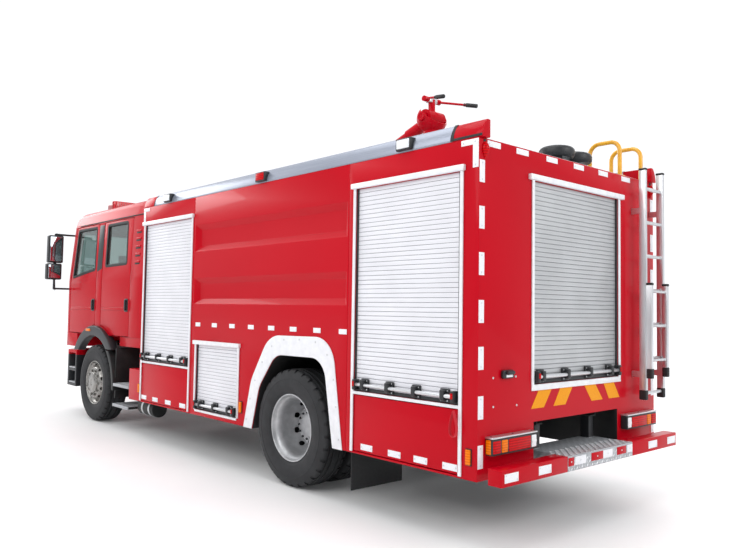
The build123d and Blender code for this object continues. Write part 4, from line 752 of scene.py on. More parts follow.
# Ladder: a two-section aluminium ladder stowed upright on stand-off brackets,
# with black rubber feet and caps on its stiles. Hoops: bent tube in yellow enamel, welded to the roof.
dress("ladder", brushed_alloy, 0.004, 2)
ends = []
for y in (-0.858, -1.175):
    foot = start_box("foot", (-4.143, y - 0.02, 0.85), (-4.077, y + 0.02, 0.935))
    ends.append(round_edges(foot, 0.008, 3))
    cap = start_box("cap", (-4.143, y - 0.02, 2.83), (-4.077, y + 0.02, 2.85))
    ends.append(round_edges(cap, 0.006, 3))
for y in (-0.864, -1.15):
    foot = start_box("foot", (-4.193, y - 0.02, 1.035), (-4.141, y + 0.02, 1.12))
    ends.append(round_edges(foot, 0.008, 3))
    cap = start_box("cap", (-4.193, y - 0.02, 1.83), (-4.141, y + 0.02, 1.852))
    ends.append(round_edges(cap, 0.006, 3))
carry(join_up("ladder_ends", ends), "chassis", black_rubber)
yellow_enamel, place = new_finish("yellow_enamel", {"Roughness": 0.3, "Coat Weight": 0.4})
cloud = add_node(yellow_enamel, "TexNoise", {"Scale": 1000 / 80, "Detail": 4}, {"Vector": place})
add_node(yellow_enamel, "ValToRGB", {"stops": ((0.3, "#D99A12"), (0.7, "#EBAE22"))}, {"Fac": cloud},
         into="Base Color")
add_node(yellow_enamel, "Bump", {"Strength": 0.05, "Distance": 0.0005}, {"Height": cloud}, into="Normal")
dress("grab_hoops", yellow_enamel, 0)
flange = coated(round_edges(start_disc("flange", 0.045, 0, 0.01, 32), 0.003), yellow_enamel)
flange_places = [Matrix.Translation((x, y, 2.78)) for x in (-3.953, -3.663) for y in (-0.75, -1.126)]
carry(copy_to(flange, "hoop_flanges", flange_places), "chassis", None)


# Tyres: six tubeless radial truck tyres. A steel-belted carcass is moulded in black rubber,
# with three ribs round the tread, cut shoulder blocks, and a raised band and rim guard on the wall.
def spun(name, section, steps=96):
    """A closed ring turned about the Y axis from a section of (radius, offset)."""
    ring = start_line(name, [(0, offset, radius) for radius, offset in section + section[:1]])
    bpy.ops.mesh.select_all(action="SELECT")
    bpy.ops.mesh.remove_doubles(threshold=0.00002)
    bpy.ops.mesh.spin(steps=steps, angle=math.tau, center=(0, 0, 0), axis=(0, 1, 0))
    return close_mesh(ring)


tyre_rubber, place = new_finish("moulded_tyre_rubber", {"Roughness": 0.68, "IOR": 1.52})
dust = add_node(tyre_rubber, "TexNoise", {"Scale": 1000 / 90, "Detail": 5}, {"Vector": place})
add_node(tyre_rubber, "ValToRGB", {"stops": ((0.3, "#121316"), (0.75, "#232427"))}, {"Fac": dust},
         into="Base Color")
pores = add_node(tyre_rubber, "TexNoise", {"Scale": 1000 / 3, "Detail": 2}, {"Vector": place})
add_node(tyre_rubber, "Bump", {"Strength": 0.15, "Distance": 0.0006}, {"Height": pores}, into="Normal")
wall = [(0.3, 0.116), (0.306, 0.1235), (0.318, 0.128), (0.324, 0.1345), (0.331, 0.136), (0.345, 0.1405),
        (0.372, 0.1455),
        (0.4, 0.1472), (0.428, 0.1455), (0.4295, 0.1472), (0.4365, 0.1472), (0.438, 0.145), (0.47,
                0.1395), (0.49, 0.1335),
        (0.503, 0.127), (0.511, 0.1205), (0.5155, 0.1125), (0.5185, 0.1), (0.5195, 0.092), (0.506,
                0.088), (0.506, 0.08),
        (0.5205, 0.076), (0.521, 0.047), (0.506, 0.043), (0.506, 0.033), (0.5215, 0.029)]
tyre = spun("tyre", wall + [(r, -y) for r, y in reversed(wall)], 120)
only(tyre)
bpy.ops.object.mode_set(mode="EDIT")
bpy.ops.mesh.select_mode(type="FACE")
bpy.ops.mesh.select_all(action="DESELECT")
mesh = bmesh.from_edit_mesh(tyre.data)
for face in mesh.faces:
    middle = face.calc_center_median()
    part = int((math.atan2(middle.z, middle.x) + math.pi) / math.tau * 120)
    face.select_set(0.09 < abs(middle.y) < 0.131 and math.hypot(middle.x, middle.z) > 0.495 and part % 4 == 0)
bmesh.update_edit_mesh(tyre.data)
bpy.ops.mesh.extrude_region()
bpy.ops.transform.resize(value=(0.978, 1, 0.978), center_override=(0, 0, 0))
bpy.ops.object.mode_set(mode="OBJECT")
round_edges(coated(tyre, tyre_rubber), 0, 2, 40)
wheel_places = {
    "front_left": [Matrix.Translation((2.83, 1.022, 0.522))],
    "front_right": [Matrix.Translation((2.83, -1.022, 0.522)) @ Matrix.Rotation(math.pi, 4, "Z")],
    "rear_left": [Matrix.Translation((-1.87, y, 0.522)) for y in (1.098, 0.763)],
    "rear_right": [Matrix.Translation((-1.87, -y, 0.522)) @ Matrix.Rotation(math.pi, 4, "Z")
                   for y in (1.098, 0.763)],
}
for corner, places in wheel_places.items():
    node = ("tyre_" if "front" in corner else "tyres_") + corner
    spare = bpy.data.objects.new("tyre_model", tyre.data.copy())
    bpy.context.scene.collection.objects.link(spare)
    piece = copy_to(spare, node + "_dressed", places)
    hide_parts(node)
    carry(piece, frame["nodes"][node]["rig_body"], None)
bpy.data.objects.remove(tyre)

# Front wheels: forged aluminium, turned and polished, with ten hand holes round a disc that bulges outwards,
# ten nuts on long studs, and a turned hub cover.
polished_alloy, place = new_finish("polished_forged_aluminium", {"Metallic": 1.0, "Roughness": 0.2})
marks = add_node(polished_alloy, "TexNoise", {"Scale": 1000 / 45, "Detail": 5}, {"Vector": place})
add_node(polished_alloy, "ValToRGB", {"stops": ((0.3, "#84827F"), (0.7, "#A3A19D"))}, {"Fac": marks},
         into="Base Color")
add_node(polished_alloy, "MapRange", {1: 0.3, 2: 0.7, 3: 0.24, 4: 0.38}, {0: marks}, into="Roughness")
lip = [(0.3, 0.113), (0.3, 0.124), (0.297, 0.127), (0.29, 0.127), (0.286, 0.122), (0.284, 0.105),
       (0.27, 0.09), (0.255, 0.075)]
barrel = [(0.25, -0.1), (0.284, -0.112), (0.286, -0.127), (0.3, -0.127), (0.3, -0.113), (0.296, -0.1),
          (0.296, 0.1)]
bulge = [(0.25, 0.05), (0.243, 0.056), (0.232, 0.085), (0.216, 0.118), (0.207, 0.129), (0.197, 0.133),
         (0.142, 0.133),
         (0.138, 0.137), (0.138, 0.148), (0.13, 0.155), (0.096, 0.157), (0.09, 0.1605), (0.05,
                 0.1605), (0.046, 0.157),
         (0, 0.157), (0, 0.02), (0.11, 0.02), (0.13, 0.1), (0.19, 0.118), (0.2, 0.112), (0.234, 0.04), (0.236,
                 -0.02)]
dish = [(0.25, 0.03), (0.249, -0.035), (0.238, -0.07), (0.21, -0.135), (0.203, -0.148), (0.193, -0.1535),
        (0.142, -0.1535),
        (0.138, -0.15), (0.138, -0.075), (0.132, -0.066), (0.118, -0.0625), (0.1, -0.0625), (0.096,
                -0.058), (0, -0.058),
        (0, -0.3), (0.12, -0.3), (0.125, -0.17), (0.19, -0.1665), (0.2, -0.16), (0.236, -0.08), (0.238,
                -0.09)]


def holed(disc, circle, radius, level, inward):
    """Cuts ten round hand holes through a wheel disc, square to a wall that leans inward by that share."""
    hole = start_disc("hole", radius, -0.024, 0.05, 32)
    outward = math.sqrt(1 - inward * inward)
    places = []
    for n in range(10):
        spoke = math.tau * (n + 0.5) / 10
        across = Vector((math.cos(spoke), 0, math.sin(spoke)))
        places.append(facing(across * circle + Vector((0, level, 0)),
                             Vector((0, outward, 0)) - across * inward))
    cutter = copy_to(hole, "holes", places)
    cut = disc.modifiers.new("holes", "BOOLEAN")
    cut.object = cutter
    cut.operation = "DIFFERENCE"
    only(disc)
    bpy.ops.object.modifier_apply(modifier="holes")
    bpy.data.objects.remove(cutter)
    return round_edges(disc, 0.0015, 2, 40)


def wheel_nut(length):
    """A hexagon nut on its washer with the stud's end standing out."""
    washer = round_edges(start_disc("nut", 0.0235, 0, 0.006, 24), 0.0015)
    hexagon = round_edges(start_disc("nut", 0.0185, 0.004, length * 0.7, 6), 0.002)
    stud = round_edges(start_disc("nut", 0.0105, 0.004, length, 16), 0.002)
    return join_up("nut", [washer, hexagon, stud])


def nut_places(level):
    """Places for ten wheel nuts on their circle."""
    return [facing((0.1675 * math.cos(math.tau * n / 10), level, 0.1675 * math.sin(math.tau * n / 10)),
                   (0, 1, 0)) for n in range(10)]


front_disc = coated(holed(spun("wheel", lip + bulge + barrel), 0.222, 0.0225, 0.104, -0.85), polished_alloy)
front_nuts = coated(copy_to(wheel_nut(0.026), "nuts", nut_places(0.133)), polished_alloy)
front_wheel = join_up("wheel", [front_disc, front_nuts])
for corner in ("front_left", "front_right"):
    spare = bpy.data.objects.new("wheel_model", front_wheel.data.copy())
    bpy.context.scene.collection.objects.link(spare)
    piece = copy_to(spare, f"rim_{corner}_dressed", wheel_places[corner])
    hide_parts(f"rim_{corner}")
    carry(piece, frame["nodes"][f"rim_{corner}"]["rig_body"], None)
bpy.data.objects.remove(front_wheel)

# Rear wheels: pressed steel twins, sprayed silver. The outer disc is dished deep to reach the same hub flange
# as the inner one, and the axle's end stands in the middle with its ring of bolts.
silver_steel, place = new_finish("silver_sprayed_steel", {"Metallic": 0.65, "Roughness": 0.4})
mottle = add_node(silver_steel, "TexNoise", {"Scale": 1000 / 70, "Detail": 5}, {"Vector": place})
add_node(silver_steel, "ValToRGB", {"stops": ((0.3, "#A3A4A6"), (0.7, "#BDBEC0"))}, {"Fac": mottle},
         into="Base Color")
add_node(silver_steel, "Bump", {"Strength": 0.06, "Distance": 0.0005}, {"Height": mottle}, into="Normal")
outer_disc = coated(holed(spun("wheel", lip + dish + barrel), 0.2235, 0.027, -0.104, 0.918), silver_steel)
outer_nuts = coated(copy_to(wheel_nut(0.05), "nuts", nut_places(-0.1535)), silver_steel)
bolt = round_edges(start_disc("bolt", 0.011, 0, 0.014, 6), 0.002)
bolt_places = [facing((0.118 * math.cos(math.tau * n / 12), -0.0635, 0.118 * math.sin(math.tau * n / 12)),
                      (0, 1, 0)) for n in range(12)]
axle_bolts = coated(copy_to(bolt, "bolts", bolt_places), grained_plastic)
inner_rim = coated(round_edges(spun("inner", lip + [(0.25, 0.03), (0.236, -0.02)] + barrel), 0), silver_steel)
inner_rim.data.transform(Matrix.Translation((0, -0.335, 0)))
rear_wheel = join_up("wheel", [outer_disc, outer_nuts, axle_bolts, inner_rim])
for corner in ("rear_left", "rear_right"):
    spare = bpy.data.objects.new("wheel_model", rear_wheel.data.copy())
    bpy.context.scene.collection.objects.link(spare)
    piece = copy_to(spare, f"rims_{corner}_dressed", wheel_places[corner][:1])
    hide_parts(f"rims_{corner}")
    carry(piece, frame["nodes"][f"rims_{corner}"]["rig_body"], None)
bpy.data.objects.remove(rear_wheel)

# Chassis: rolled steel side rails with riveted cross members, forged axles and leaf springs,
# all in satin black chassis paint with a patchy film of road dust.
chassis_black, place = new_finish("satin_chassis_black", {"Roughness": 0.52})
dust = add_node(chassis_black, "TexNoise", {"Scale": 1000 / 180, "Detail": 5}, {"Vector": place})
add_node(chassis_black, "ValToRGB", {"stops": ((0.35, "#141517"), (0.8, "#2A2A29"))}, {"Fac": dust},
         into="Base Color")
add_node(chassis_black, "Bump", {"Strength": 0.08, "Distance": 0.0008}, {"Height": dust}, into="Normal")
for node in ("frame_rails", "front_axle", "rear_axle", "leaf_springs", "knuckle_left", "knuckle_right",
             "propeller_shaft"):
    dress(node, chassis_black, 0.003)
for node in ("front_locker", "rear_locker", "water_tank"):
    shell = bpy.data.objects[node + "_dressed"].data
    shell.materials.append(chassis_black)
    for face in shell.polygons:
        x, y, z = face.center
        tunnel = abs(y) < 0.607 and z < 1.02 and abs(face.normal.x) < 0.5
        underside = z < 0.447 and face.normal.z < -0.5
        well = node == "water_tank" and abs(y) < 1.243 and z < 1.172 and -2.51 < x < -1.27
        face.material_index = 1 if tunnel or underside or well else 0
u_bolts = []
for x, seat in ((2.83, 0.49), (-1.87, 0.6)):
    for side in (-1, 1):
        clamp = start_box("clamp", (x - 0.09, side * 0.43 - 0.055, seat + 0.078),
                          (x + 0.09, side * 0.43 + 0.055, seat + 0.105))
        u_bolts.append(round_edges(clamp, 0.005))
        for dx in (-0.062, 0.062):
            for dy in (-0.047, 0.047):
                shank = start_disc("shank", 0.009, seat - 0.06, seat + 0.135, 16)
                shank.data.transform(Matrix.Translation((x + dx, side * 0.43 + dy, 0)))
                u_bolts.append(round_edges(shank, 0.002))
carry(join_up("spring_clamps", u_bolts), "chassis", chassis_black)
cast_iron, place = new_finish("painted_cast_iron", {"Roughness": 0.58})
grit = add_node(cast_iron, "TexNoise", {"Scale": 1000 / 5, "Detail": 4}, {"Vector": place})
add_node(cast_iron, "ValToRGB", {"stops": ((0.3, "#45484C"), (0.7, "#5A5D61"))}, {"Fac": grit},
         into="Base Color")
add_node(cast_iron, "Bump", {"Strength": 0.3, "Distance": 0.0008}, {"Height": grit}, into="Normal")
dress("engine", cast_iron, 0.012, 3)
dress("mud_flaps", black_rubber, 0.002)

# Cab steps: black steel brackets carry bright tread-plate treads, with a moulded guard behind the front wheel
# and air tanks in black paint under the body, banded with steel straps.
dress("cab_steps", chassis_black, 0.006, 3)
treads = []
lozenge_places = []
for side in (-1, 1):
    for z in (0.575, 0.315):
        low, high = sorted((side * 0.79, side * 1.188))
        plate = start_box("tread", (1.619, low, z - 0.004), (2.091, high, z + 0.004))
        treads.append(round_edges(plate, 0.002))
        nose = start_box("nose", (1.615, side * 1.176, z - 0.034), (2.095, side * 1.192, z + 0.004))
        treads.append(round_edges(nose, 0.004, 3))
        lozenge_places += [Matrix.Translation((1.645 + 0.035 * i, side * (0.82 + 0.035 * j), z + 0.004))
                           @ Matrix.Rotation(math.radians(45 if (i + j) % 2 else -45), 4,
                                             "Z") for i in range(13) for j in range(10)]
carry(join_up("cab_step_treads", treads), "chassis", rolled_alloy)
carry(copy_to(lozenge(), "cab_step_lozenges", lozenge_places), "chassis", None)
straps = []
for side in (-1, 1):
    for x in (1.232, 1.412):
        band = spun("strap", [(0.1, -0.02), (0.1035, -0.02), (0.1035, 0.02), (0.1, 0.02)], 48)
        band.data.transform(Matrix.Translation((x, side * 1.0, 0.33)) @ Matrix.Rotation(math.pi / 2, 4, "Z"))
        straps.append(round_edges(band, 0.0008))
carry(join_up("air_tank_straps", straps), "chassis", brushed_alloy)

# Splash guards: black moulded panels across the chassis tunnel behind the rear axle, which keep road dirt
# off the pump's pipework. They are bolted up under the rear locker.
guards = []
for low, high in ((0.06, 0.585), (-0.585, -0.1)):
    guards.append(round_edges(start_box("guard", (-2.93, low, 0.33), (-2.918, high, 1.0)), 0.004))
    for y in (low + 0.12, high - 0.12):
        guards.append(round_edges(start_box("rib", (-2.945, y - 0.015, 0.36), (-2.928, y + 0.015, 0.98)),
                                  0.006))
carry(join_up("splash_guards", guards), "chassis", grained_plastic)

# Cab: pressed steel panels spot-welded over a frame and sprayed with the body's red.
# The roof is a separate pressing, and a black gutter seal runs along the joint.
dress("cab_body", red_enamel, 0.0015)
dress("cab_roof", red_enamel, 0.004, 3)
for end in ("front", "rear"):
    for side in ("left", "right"):
        dress(f"door_{end}_{side}", red_enamel, 0.003, 3)


def wall_y(z):
    """How far out the cab's side wall stands at a height: upright to the belt line, then leaning in."""
    return 1.13 - 0.035 * max(z - 1.93, 0) / 0.83


def panel(name, corners, proud, rounding=0, wide=0):
    """A flat panel from its outline, or a frame of a given width round it, raised along its outward way."""
    piece = start_line(name, corners + corners[:1])
    bpy.ops.mesh.select_all(action="SELECT")
    bpy.ops.mesh.remove_doubles(threshold=0.0001)
    bpy.ops.mesh.edge_face_add()
    if rounding:
        bpy.ops.mesh.bevel(offset=rounding, segments=5, affect="VERTICES")
    if wide:
        bpy.ops.mesh.select_mode(type="FACE")
        bpy.ops.mesh.select_all(action="SELECT")
        bpy.ops.mesh.inset(thickness=wide, depth=0)
        bpy.ops.mesh.delete(type="FACE")
    bpy.ops.mesh.select_all(action="SELECT")
    bpy.ops.mesh.extrude_region_move(TRANSFORM_OT_translate={"value": proud})
    return close_mesh(piece)


gutters = []
for side in (-1, 1):
    strip = start_box("gutter", (1.47, side * 1.088, 2.752), (3.66, side * 1.101, 2.768))
    gutters.append(round_edges(strip, 0.004, 3))
strip = start_box("gutter", (1.372, -0.98, 2.752), (1.382, 0.98, 2.768))
gutters.append(round_edges(strip, 0.003))
carry(join_up("roof_gutters", gutters), "cab", black_rubber)

# Cab glass: tinted toughened side panes and a laminated windscreen, bedded in black rubber.
# Each surround is moulded as one frame with rounded corners; a dark film covers the pillar between doors.
tinted_glass, place = new_finish("tinted_toughened_glass", {
    "Base Color": linear("#A9BDB9"), "Roughness": 0.02, "IOR": 1.5, "Transmission Weight": 0.92})
haze = add_node(tinted_glass, "TexNoise", {"Scale": 1000 / 350, "Detail": 3}, {"Vector": place})
add_node(tinted_glass, "MapRange", {1: 0.3, 2: 0.8, 3: 0.01, 4: 0.05}, {0: haze}, into="Roughness")
for node in ("glass_front_left", "glass_front_right", "glass_rear_left", "glass_rear_right", "windscreen"):
    dress(node, tinted_glass, 0)
front_window = ((3.0, 2.1), (3.37, 2.06), (3.815, 2.0), (3.71, 2.69), (3.03, 2.69))
rear_window = ((1.95, 2.145), (2.63, 2.13), (2.63, 2.69), (1.99, 2.69))
for end, outline in (("front", front_window), ("rear", rear_window)):
    for side, sign in (("left", 1), ("right", -1)):
        middle = Vector((sum(x for x, z in outline), 0, sum(z for x, z in outline))) / len(outline)
        grown = []
        for x, z in outline:
            reach = Vector((x, 0, z)) - middle
            out = reach + Vector((math.copysign(0.022, reach.x), 0, math.copysign(0.022, reach.z)))
            at = middle + out
            grown.append((at.x, sign * (wall_y(at.z) - 0.014), at.z))
        ring = panel("surround", grown, (0, sign * 0.0165, 0), 0.05, 0.038)
        carry(round_edges(ring, 0.002), f"door_{end}_{side}", black_rubber)
        ring.name = f"window_surround_{end}_{side}"
films = []
for sign in (-1, 1):
    corners = [(x, sign * (wall_y(z) - 0.002), z)
               for x, z in ((2.753, 2.1), (2.927, 2.06), (2.927, 2.715), (2.753, 2.715))]
    films.append(round_edges(panel("film", corners, (0, sign * 0.0035, 0), 0.02), 0.001))
carry(join_up("pillar_films", films), "cab", grained_plastic)
corners = [(0, y, z) for y, z in ((1.04, 1.995), (0.99, 2.72), (-0.99, 2.72), (-1.04, 1.995))]


def nose_x(y, z):
    """How far forward the cab's bowed front stands at a place on it."""
    return 4.13 - (6.004 - math.sqrt(6.004 ** 2 - y * y)) - 0.2 * max(z - 1.95, 0)


def bow(piece, cuts):
    """Divides a piece across the cab and moves its points back along the cab's bowed front."""
    only(piece)
    bpy.ops.object.mode_set(mode="EDIT")
    bpy.ops.mesh.select_all(action="SELECT")
    for n in range(1, cuts):
        low = min(v.co.y for v in bmesh.from_edit_mesh(piece.data).verts)
        high = max(v.co.y for v in bmesh.from_edit_mesh(piece.data).verts)
        bpy.ops.mesh.select_all(action="SELECT")
        bpy.ops.mesh.bisect(plane_co=(0, low + (high - low) * n / cuts, 0), plane_no=(0, 1, 0))
    bpy.ops.object.mode_set(mode="OBJECT")
    for vert in piece.data.vertices:
        vert.co.x += nose_x(vert.co.y, vert.co.z)
    return piece


screen_frame = panel("screen_frame", corners, (0.006, 0, 0), 0.06, 0.05)
carry(round_edges(bow(screen_frame, 30), 0), "cab", black_rubber)

# Cab front: a black moulded grille of bowed slats under the windscreen, a body-coloured bar across it,
# two wipers parked at the foot of the glass, and two air slots beside the grille.
slats = [bow(round_edges(start_box("back", (-0.004, -0.86, 1.36), (0.006, 0.86, 1.86)), 0.003), 24)]
for n in range(6):
    z = 1.4 + 0.075 * n
    slats.append(bow(round_edges(start_box("slat", (0.002, -0.82, z), (0.03, 0.82, z + 0.038)), 0.009, 3),
                     24))
for y in (-0.4, 0, 0.4):
    slats.append(bow(round_edges(start_box("post", (0.002, y - 0.012, 1.37), (0.02, y + 0.012, 1.85)), 0.004),
                     2))
carry(round_edges(join_up("front_grille", slats), 0), "cab", grained_plastic)
lower = bow(round_edges(start_box("lower_grille", (-0.022, -0.55, 0.99), (-0.012, 0.55, 1.062)), 0.003), 16)
carry(round_edges(lower, 0), "cab", grained_plastic)
bar = bow(round_edges(start_box("nose_bar", (0.001, -0.9, 1.872), (0.036, 0.9, 1.93)), 0.014, 4), 24)
carry(round_edges(bar, 0), "cab", red_enamel)
bar.name = "nose_bar"
wipers = []
for root, tip in ((0.62, -0.12), (-0.1, -0.84)):
    arm = start_box("arm", (0.012, tip, 2.02), (0.024, root, 2.034))
    wipers.append(bow(round_edges(arm, 0.004), 12))
    blade = start_box("blade", (0.004, tip - 0.06, 2.045), (0.018, root - 0.12, 2.062))
    wipers.append(bow(round_edges(blade, 0.004), 12))
    hub = start_disc("hub", 0.024, 0, 0.034, 24)
    hub.data.transform(facing((nose_x(root, 2.0) - 0.006, root, 2.0), (1, 0, 0)))
    wipers.append(round_edges(hub, 0.006, 3))
carry(round_edges(join_up("wipers", wipers), 0), "cab", grained_plastic)

# Door furniture: pull handles set in dark dished pockets, a pressed feature line along the lower doors,
# and louvred air outlets on the cab's rear quarter.
pocket = coated(round_edges(start_box("pocket", (-0.05, -0.085, 0), (0.05, 0.085, 0.006)), 0.0028),
                grained_plastic)
grip = coated(round_edges(start_box("grip", (-0.018, -0.07, 0.012), (0.018, 0.07, 0.03)), 0.008, 4),
              grained_plastic)
feet = [coated(round_edges(start_box("foot", (-0.014, y - 0.012, 0), (0.014, y + 0.012, 0.02)), 0.003),
               grained_plastic)
        for y in (-0.058, 0.058)]
handle = join_up("handle", [pocket, grip] + feet)
for side, sign in (("left", 1), ("right", -1)):
    for end, x in (("front", 3.01), ("rear", 1.9)):
        spare = bpy.data.objects.new("handle_model", handle.data.copy())
        bpy.context.scene.collection.objects.link(spare)
        made = copy_to(spare, f"handle_{end}_{side}", [facing((x, sign * 1.13, 1.595), (0, sign, 0))])
        carry(made, f"door_{end}_{side}", None)
    for end, x0, x1 in (("front", 3.08, 3.86), ("rear", 1.97, 2.72)):
        line = start_box(f"feature_line_{end}_{side}", (x0, sign * 1.127, 1.526), (x1, sign * 1.137, 1.562))
        carry(round_edges(line, 0.0065, 4), f"door_{end}_{side}", red_enamel)
bpy.data.objects.remove(handle)
louvres = []
for sign in (-1, 1):
    for n in range(5):
        z = 2.13 + 0.1 * n
        y = wall_y(z)
        slot = start_box("slot", (1.56, sign * (y - 0.006), z - 0.012), (1.7, sign * (y + 0.002), z + 0.012))
        louvres.append(coated(round_edges(slot, 0.002), black_rubber))
        lip_low, lip_high = sorted((sign * (y - 0.008), sign * (y + 0.007)))
        hood = start_box("hood", (1.553, lip_low, z + 0.01), (1.707, lip_high, z + 0.034))
        louvres.append(coated(round_edges(hood, 0.006, 4), red_enamel))
carry(join_up("quarter_louvres", louvres), "cab", None)

# Mirrors: moulded black heads on tubular arms, a tall flat glass over a wide-angle one, facing backwards.
# Visor and flares: smoked and grained mouldings, with an amber repeater on each flare.
dress("mirrors", grained_plastic, 0.01, 3)
silvered_glass, place = new_finish("silvered_mirror_glass",
                                   {"Base Color": linear("#B9C2C8"), "Metallic": 1.0})
film = add_node(silvered_glass, "TexNoise", {"Scale": 1000 / 120, "Detail": 3}, {"Vector": place})
add_node(silvered_glass, "MapRange", {1: 0.3, 2: 0.8, 3: 0.02, 4: 0.07}, {0: film}, into="Roughness")
panes = []
for side in (-1, 1):
    for y0, y1, z0, z1 in ((1.262, 1.433, 2.237, 2.603), (1.277, 1.448, 1.987, 2.183)):
        low, high = sorted((side * y0, side * y1))
        pane = start_box("mirror_pane", (3.944, low, z0), (3.952, high, z1))
        panes.append(round_edges(pane, 0.003, 3))
carry(join_up("mirror_panes", panes), "cab", silvered_glass)
dress("sun_visor", grained_plastic, 0.003)
dress("wheel_flares", grained_plastic, 0.012, 4)
repeaters = []
for side in (-1, 1):
    low, high = sorted((side * 1.186, side * 1.197))
    lens = start_box("repeater", (2.93, low, 1.225), (3.09, high, 1.262))
    repeaters.append(round_edges(lens, 0.006, 3))
carry(join_up("flare_repeaters", repeaters), "cab", ribbed_amber)

# Light bar: two red polycarbonate domes on an aluminium base, with a dark centre, bolted across the roof.
beacon_red, place = new_finish("red_polycarbonate_dome", {"Roughness": 0.12, "IOR": 1.58, "Coat Weight": 0.5})
flutes = add_node(beacon_red, "TexWave", {"Scale": 1000 / 16 / 6.2832, "bands_direction": "Y"},
                  {"Vector": place})
add_node(beacon_red, "ValToRGB", {"stops": ((0.2, "#A30A16"), (0.8, "#D11524"))}, {"Fac": flutes},
         into="Base Color")
add_node(beacon_red, "Bump", {"Strength": 0.3, "Distance": 0.002}, {"Height": flutes}, into="Normal")
dress("light_bar", beacon_red, 0.014, 4)
bar_low, bar_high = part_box("light_bar")
skirts = [round_edges(start_box("skirt", (bar_low.x - 0.001, -0.7, 3.012), (bar_high.x + 0.001, 0.7, 3.044)),
                      0.006, 3)]
skirts.append(round_edges(start_box("centre", (bar_low.x - 0.002, -0.13, 3.03),
                                    (bar_high.x + 0.002, 0.13, bar_high.z - 0.001)), 0.012, 3))
carry(join_up("light_bar_base", skirts), "cab", grained_plastic)

# Front bumper: a steel shell, red above and in front, with black step corners that hold bright treads.
# Twin round lamps sit behind clear covers in its face.
bumper = dress("front_bumper", red_enamel, 0.008, 3)
bumper.data.materials.append(grained_plastic)
only(bumper)
bpy.ops.object.mode_set(mode="EDIT")
bpy.ops.mesh.select_all(action="SELECT")
bpy.ops.mesh.bisect(plane_co=(0, 0, 0.86), plane_no=(0, 0, 1))
bpy.ops.mesh.select_mode(type="FACE")
bpy.ops.mesh.select_all(action="DESELECT")
mesh = bmesh.from_edit_mesh(bumper.data)
for face in mesh.faces:
    middle = face.calc_center_median()
    face.select_set(middle.z < 0.86 and abs(middle.y) > 0.9 and middle.x < 3.93 or middle.z < 0.43)
bmesh.update_edit_mesh(bumper.data)
bumper.active_material_index = 1
bpy.ops.object.material_slot_assign()
bpy.ops.object.mode_set(mode="OBJECT")
steps = []
for side in (-1, 1):
    for z in (0.445, 0.66):
        low, high = sorted((side * 1.03, side * 1.128))
        steps.append(round_edges(start_box("step", (3.62, low, z), (3.855, high, z + 0.02)), 0.004, 3))
carry(join_up("bumper_steps", steps), "chassis", rolled_alloy)
clear_cover, place = new_finish("clear_lamp_cover", {
    "Base Color": linear("#F2F5F7"), "Roughness": 0.03, "IOR": 1.5, "Transmission Weight": 0.9})
ripple = add_node(clear_cover, "TexNoise", {"Scale": 1000 / 30, "Detail": 1}, {"Vector": place})
add_node(clear_cover, "Bump", {"Strength": 0.05, "Distance": 0.0005}, {"Height": ripple}, into="Normal")
openings = [start_box("opening", (4.172, -0.45, 0.48), (4.3, 0.45, 0.6))]
for side in (-1, 1):
    low, high = sorted((side * 0.565, side * 0.895))
    openings.append(start_box("opening", (4.146, low, 0.645), (4.3, high, 0.785)))
cutter = join_up("openings", openings)
cut = bumper.modifiers.new("openings", "BOOLEAN")
cut.object = cutter
cut.operation = "DIFFERENCE"
only(bumper)
bpy.ops.object.modifier_apply(modifier="openings")
bpy.data.objects.remove(cutter)
lamps = []
for side in (-1, 1):
    low, high = sorted((side * 0.566, side * 0.894))
    lamps.append(coated(round_edges(start_box("backing", (4.147, low, 0.646), (4.154, high, 0.784)), 0.002),
                        grained_plastic))
    for y, radius in ((0.642, 0.058), (0.778, 0.058), (0.864, 0.024)):
        lens = brushed_alloy if radius > 0.03 else ribbed_amber
        bowl = start_disc("bowl", radius, 0, 0.022, 48)
        bowl.data.transform(facing((4.154, side * y, 0.715), (1, 0, 0)))
        lamps.append(coated(round_edges(bowl, 0.006, 3), lens))
        bulb = start_disc("bulb", radius * 0.4, 0.02, 0.034, 32)
        bulb.data.transform(facing((4.154, side * y, 0.715), (1, 0, 0)))
        lamps.append(coated(round_edges(bulb, 0.006, 3), ribbed_white if radius > 0.03 else ribbed_amber))
    cover = start_box("cover", (4.2, low, 0.646), (4.206, high, 0.784))
    lamps.append(coated(round_edges(cover, 0.002, 2), clear_cover))
headlamps = carry(join_up("headlamp_units", lamps), "chassis", None)
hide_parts("headlamps")
vents = [round_edges(start_box("vent", (4.173, -0.448, 0.482), (4.178, 0.448, 0.598)), 0.001)]
for n in range(4):
    z = 0.494 + 0.029 * n
    vents.append(round_edges(start_box("bar", (4.176, -0.448, z), (4.2, 0.448, z + 0.011)), 0.004, 3))
carry(join_up("bumper_vents", vents), "chassis", grained_plastic)

# Seats: sprung front seats and a rear bench, foam cushions in grey woven cloth with sewn channels.
# They stand on black steel plinths bolted to the cab floor.
woven_cloth, place = new_finish("grey_woven_cloth", {"Roughness": 0.9, "Sheen Weight": 0.25})
weft = add_node(woven_cloth, "TexWave", {"Scale": 1000 / 5 / 6.2832, "bands_direction": "Y"},
                {"Vector": place})
warp = add_node(woven_cloth, "TexWave", {"Scale": 1000 / 5 / 6.2832, "bands_direction": "Z"},
                {"Vector": place})
cross = add_node(woven_cloth, "Math", {"operation": "MULTIPLY"}, {0: weft, 1: warp})
add_node(woven_cloth, "ValToRGB", {"stops": ((0.1, "#2F3236"), (0.7, "#4A4E53"))}, {"Fac": cross},
         into="Base Color")
add_node(woven_cloth, "Bump", {"Strength": 0.25, "Distance": 0.001}, {"Height": cross}, into="Normal")


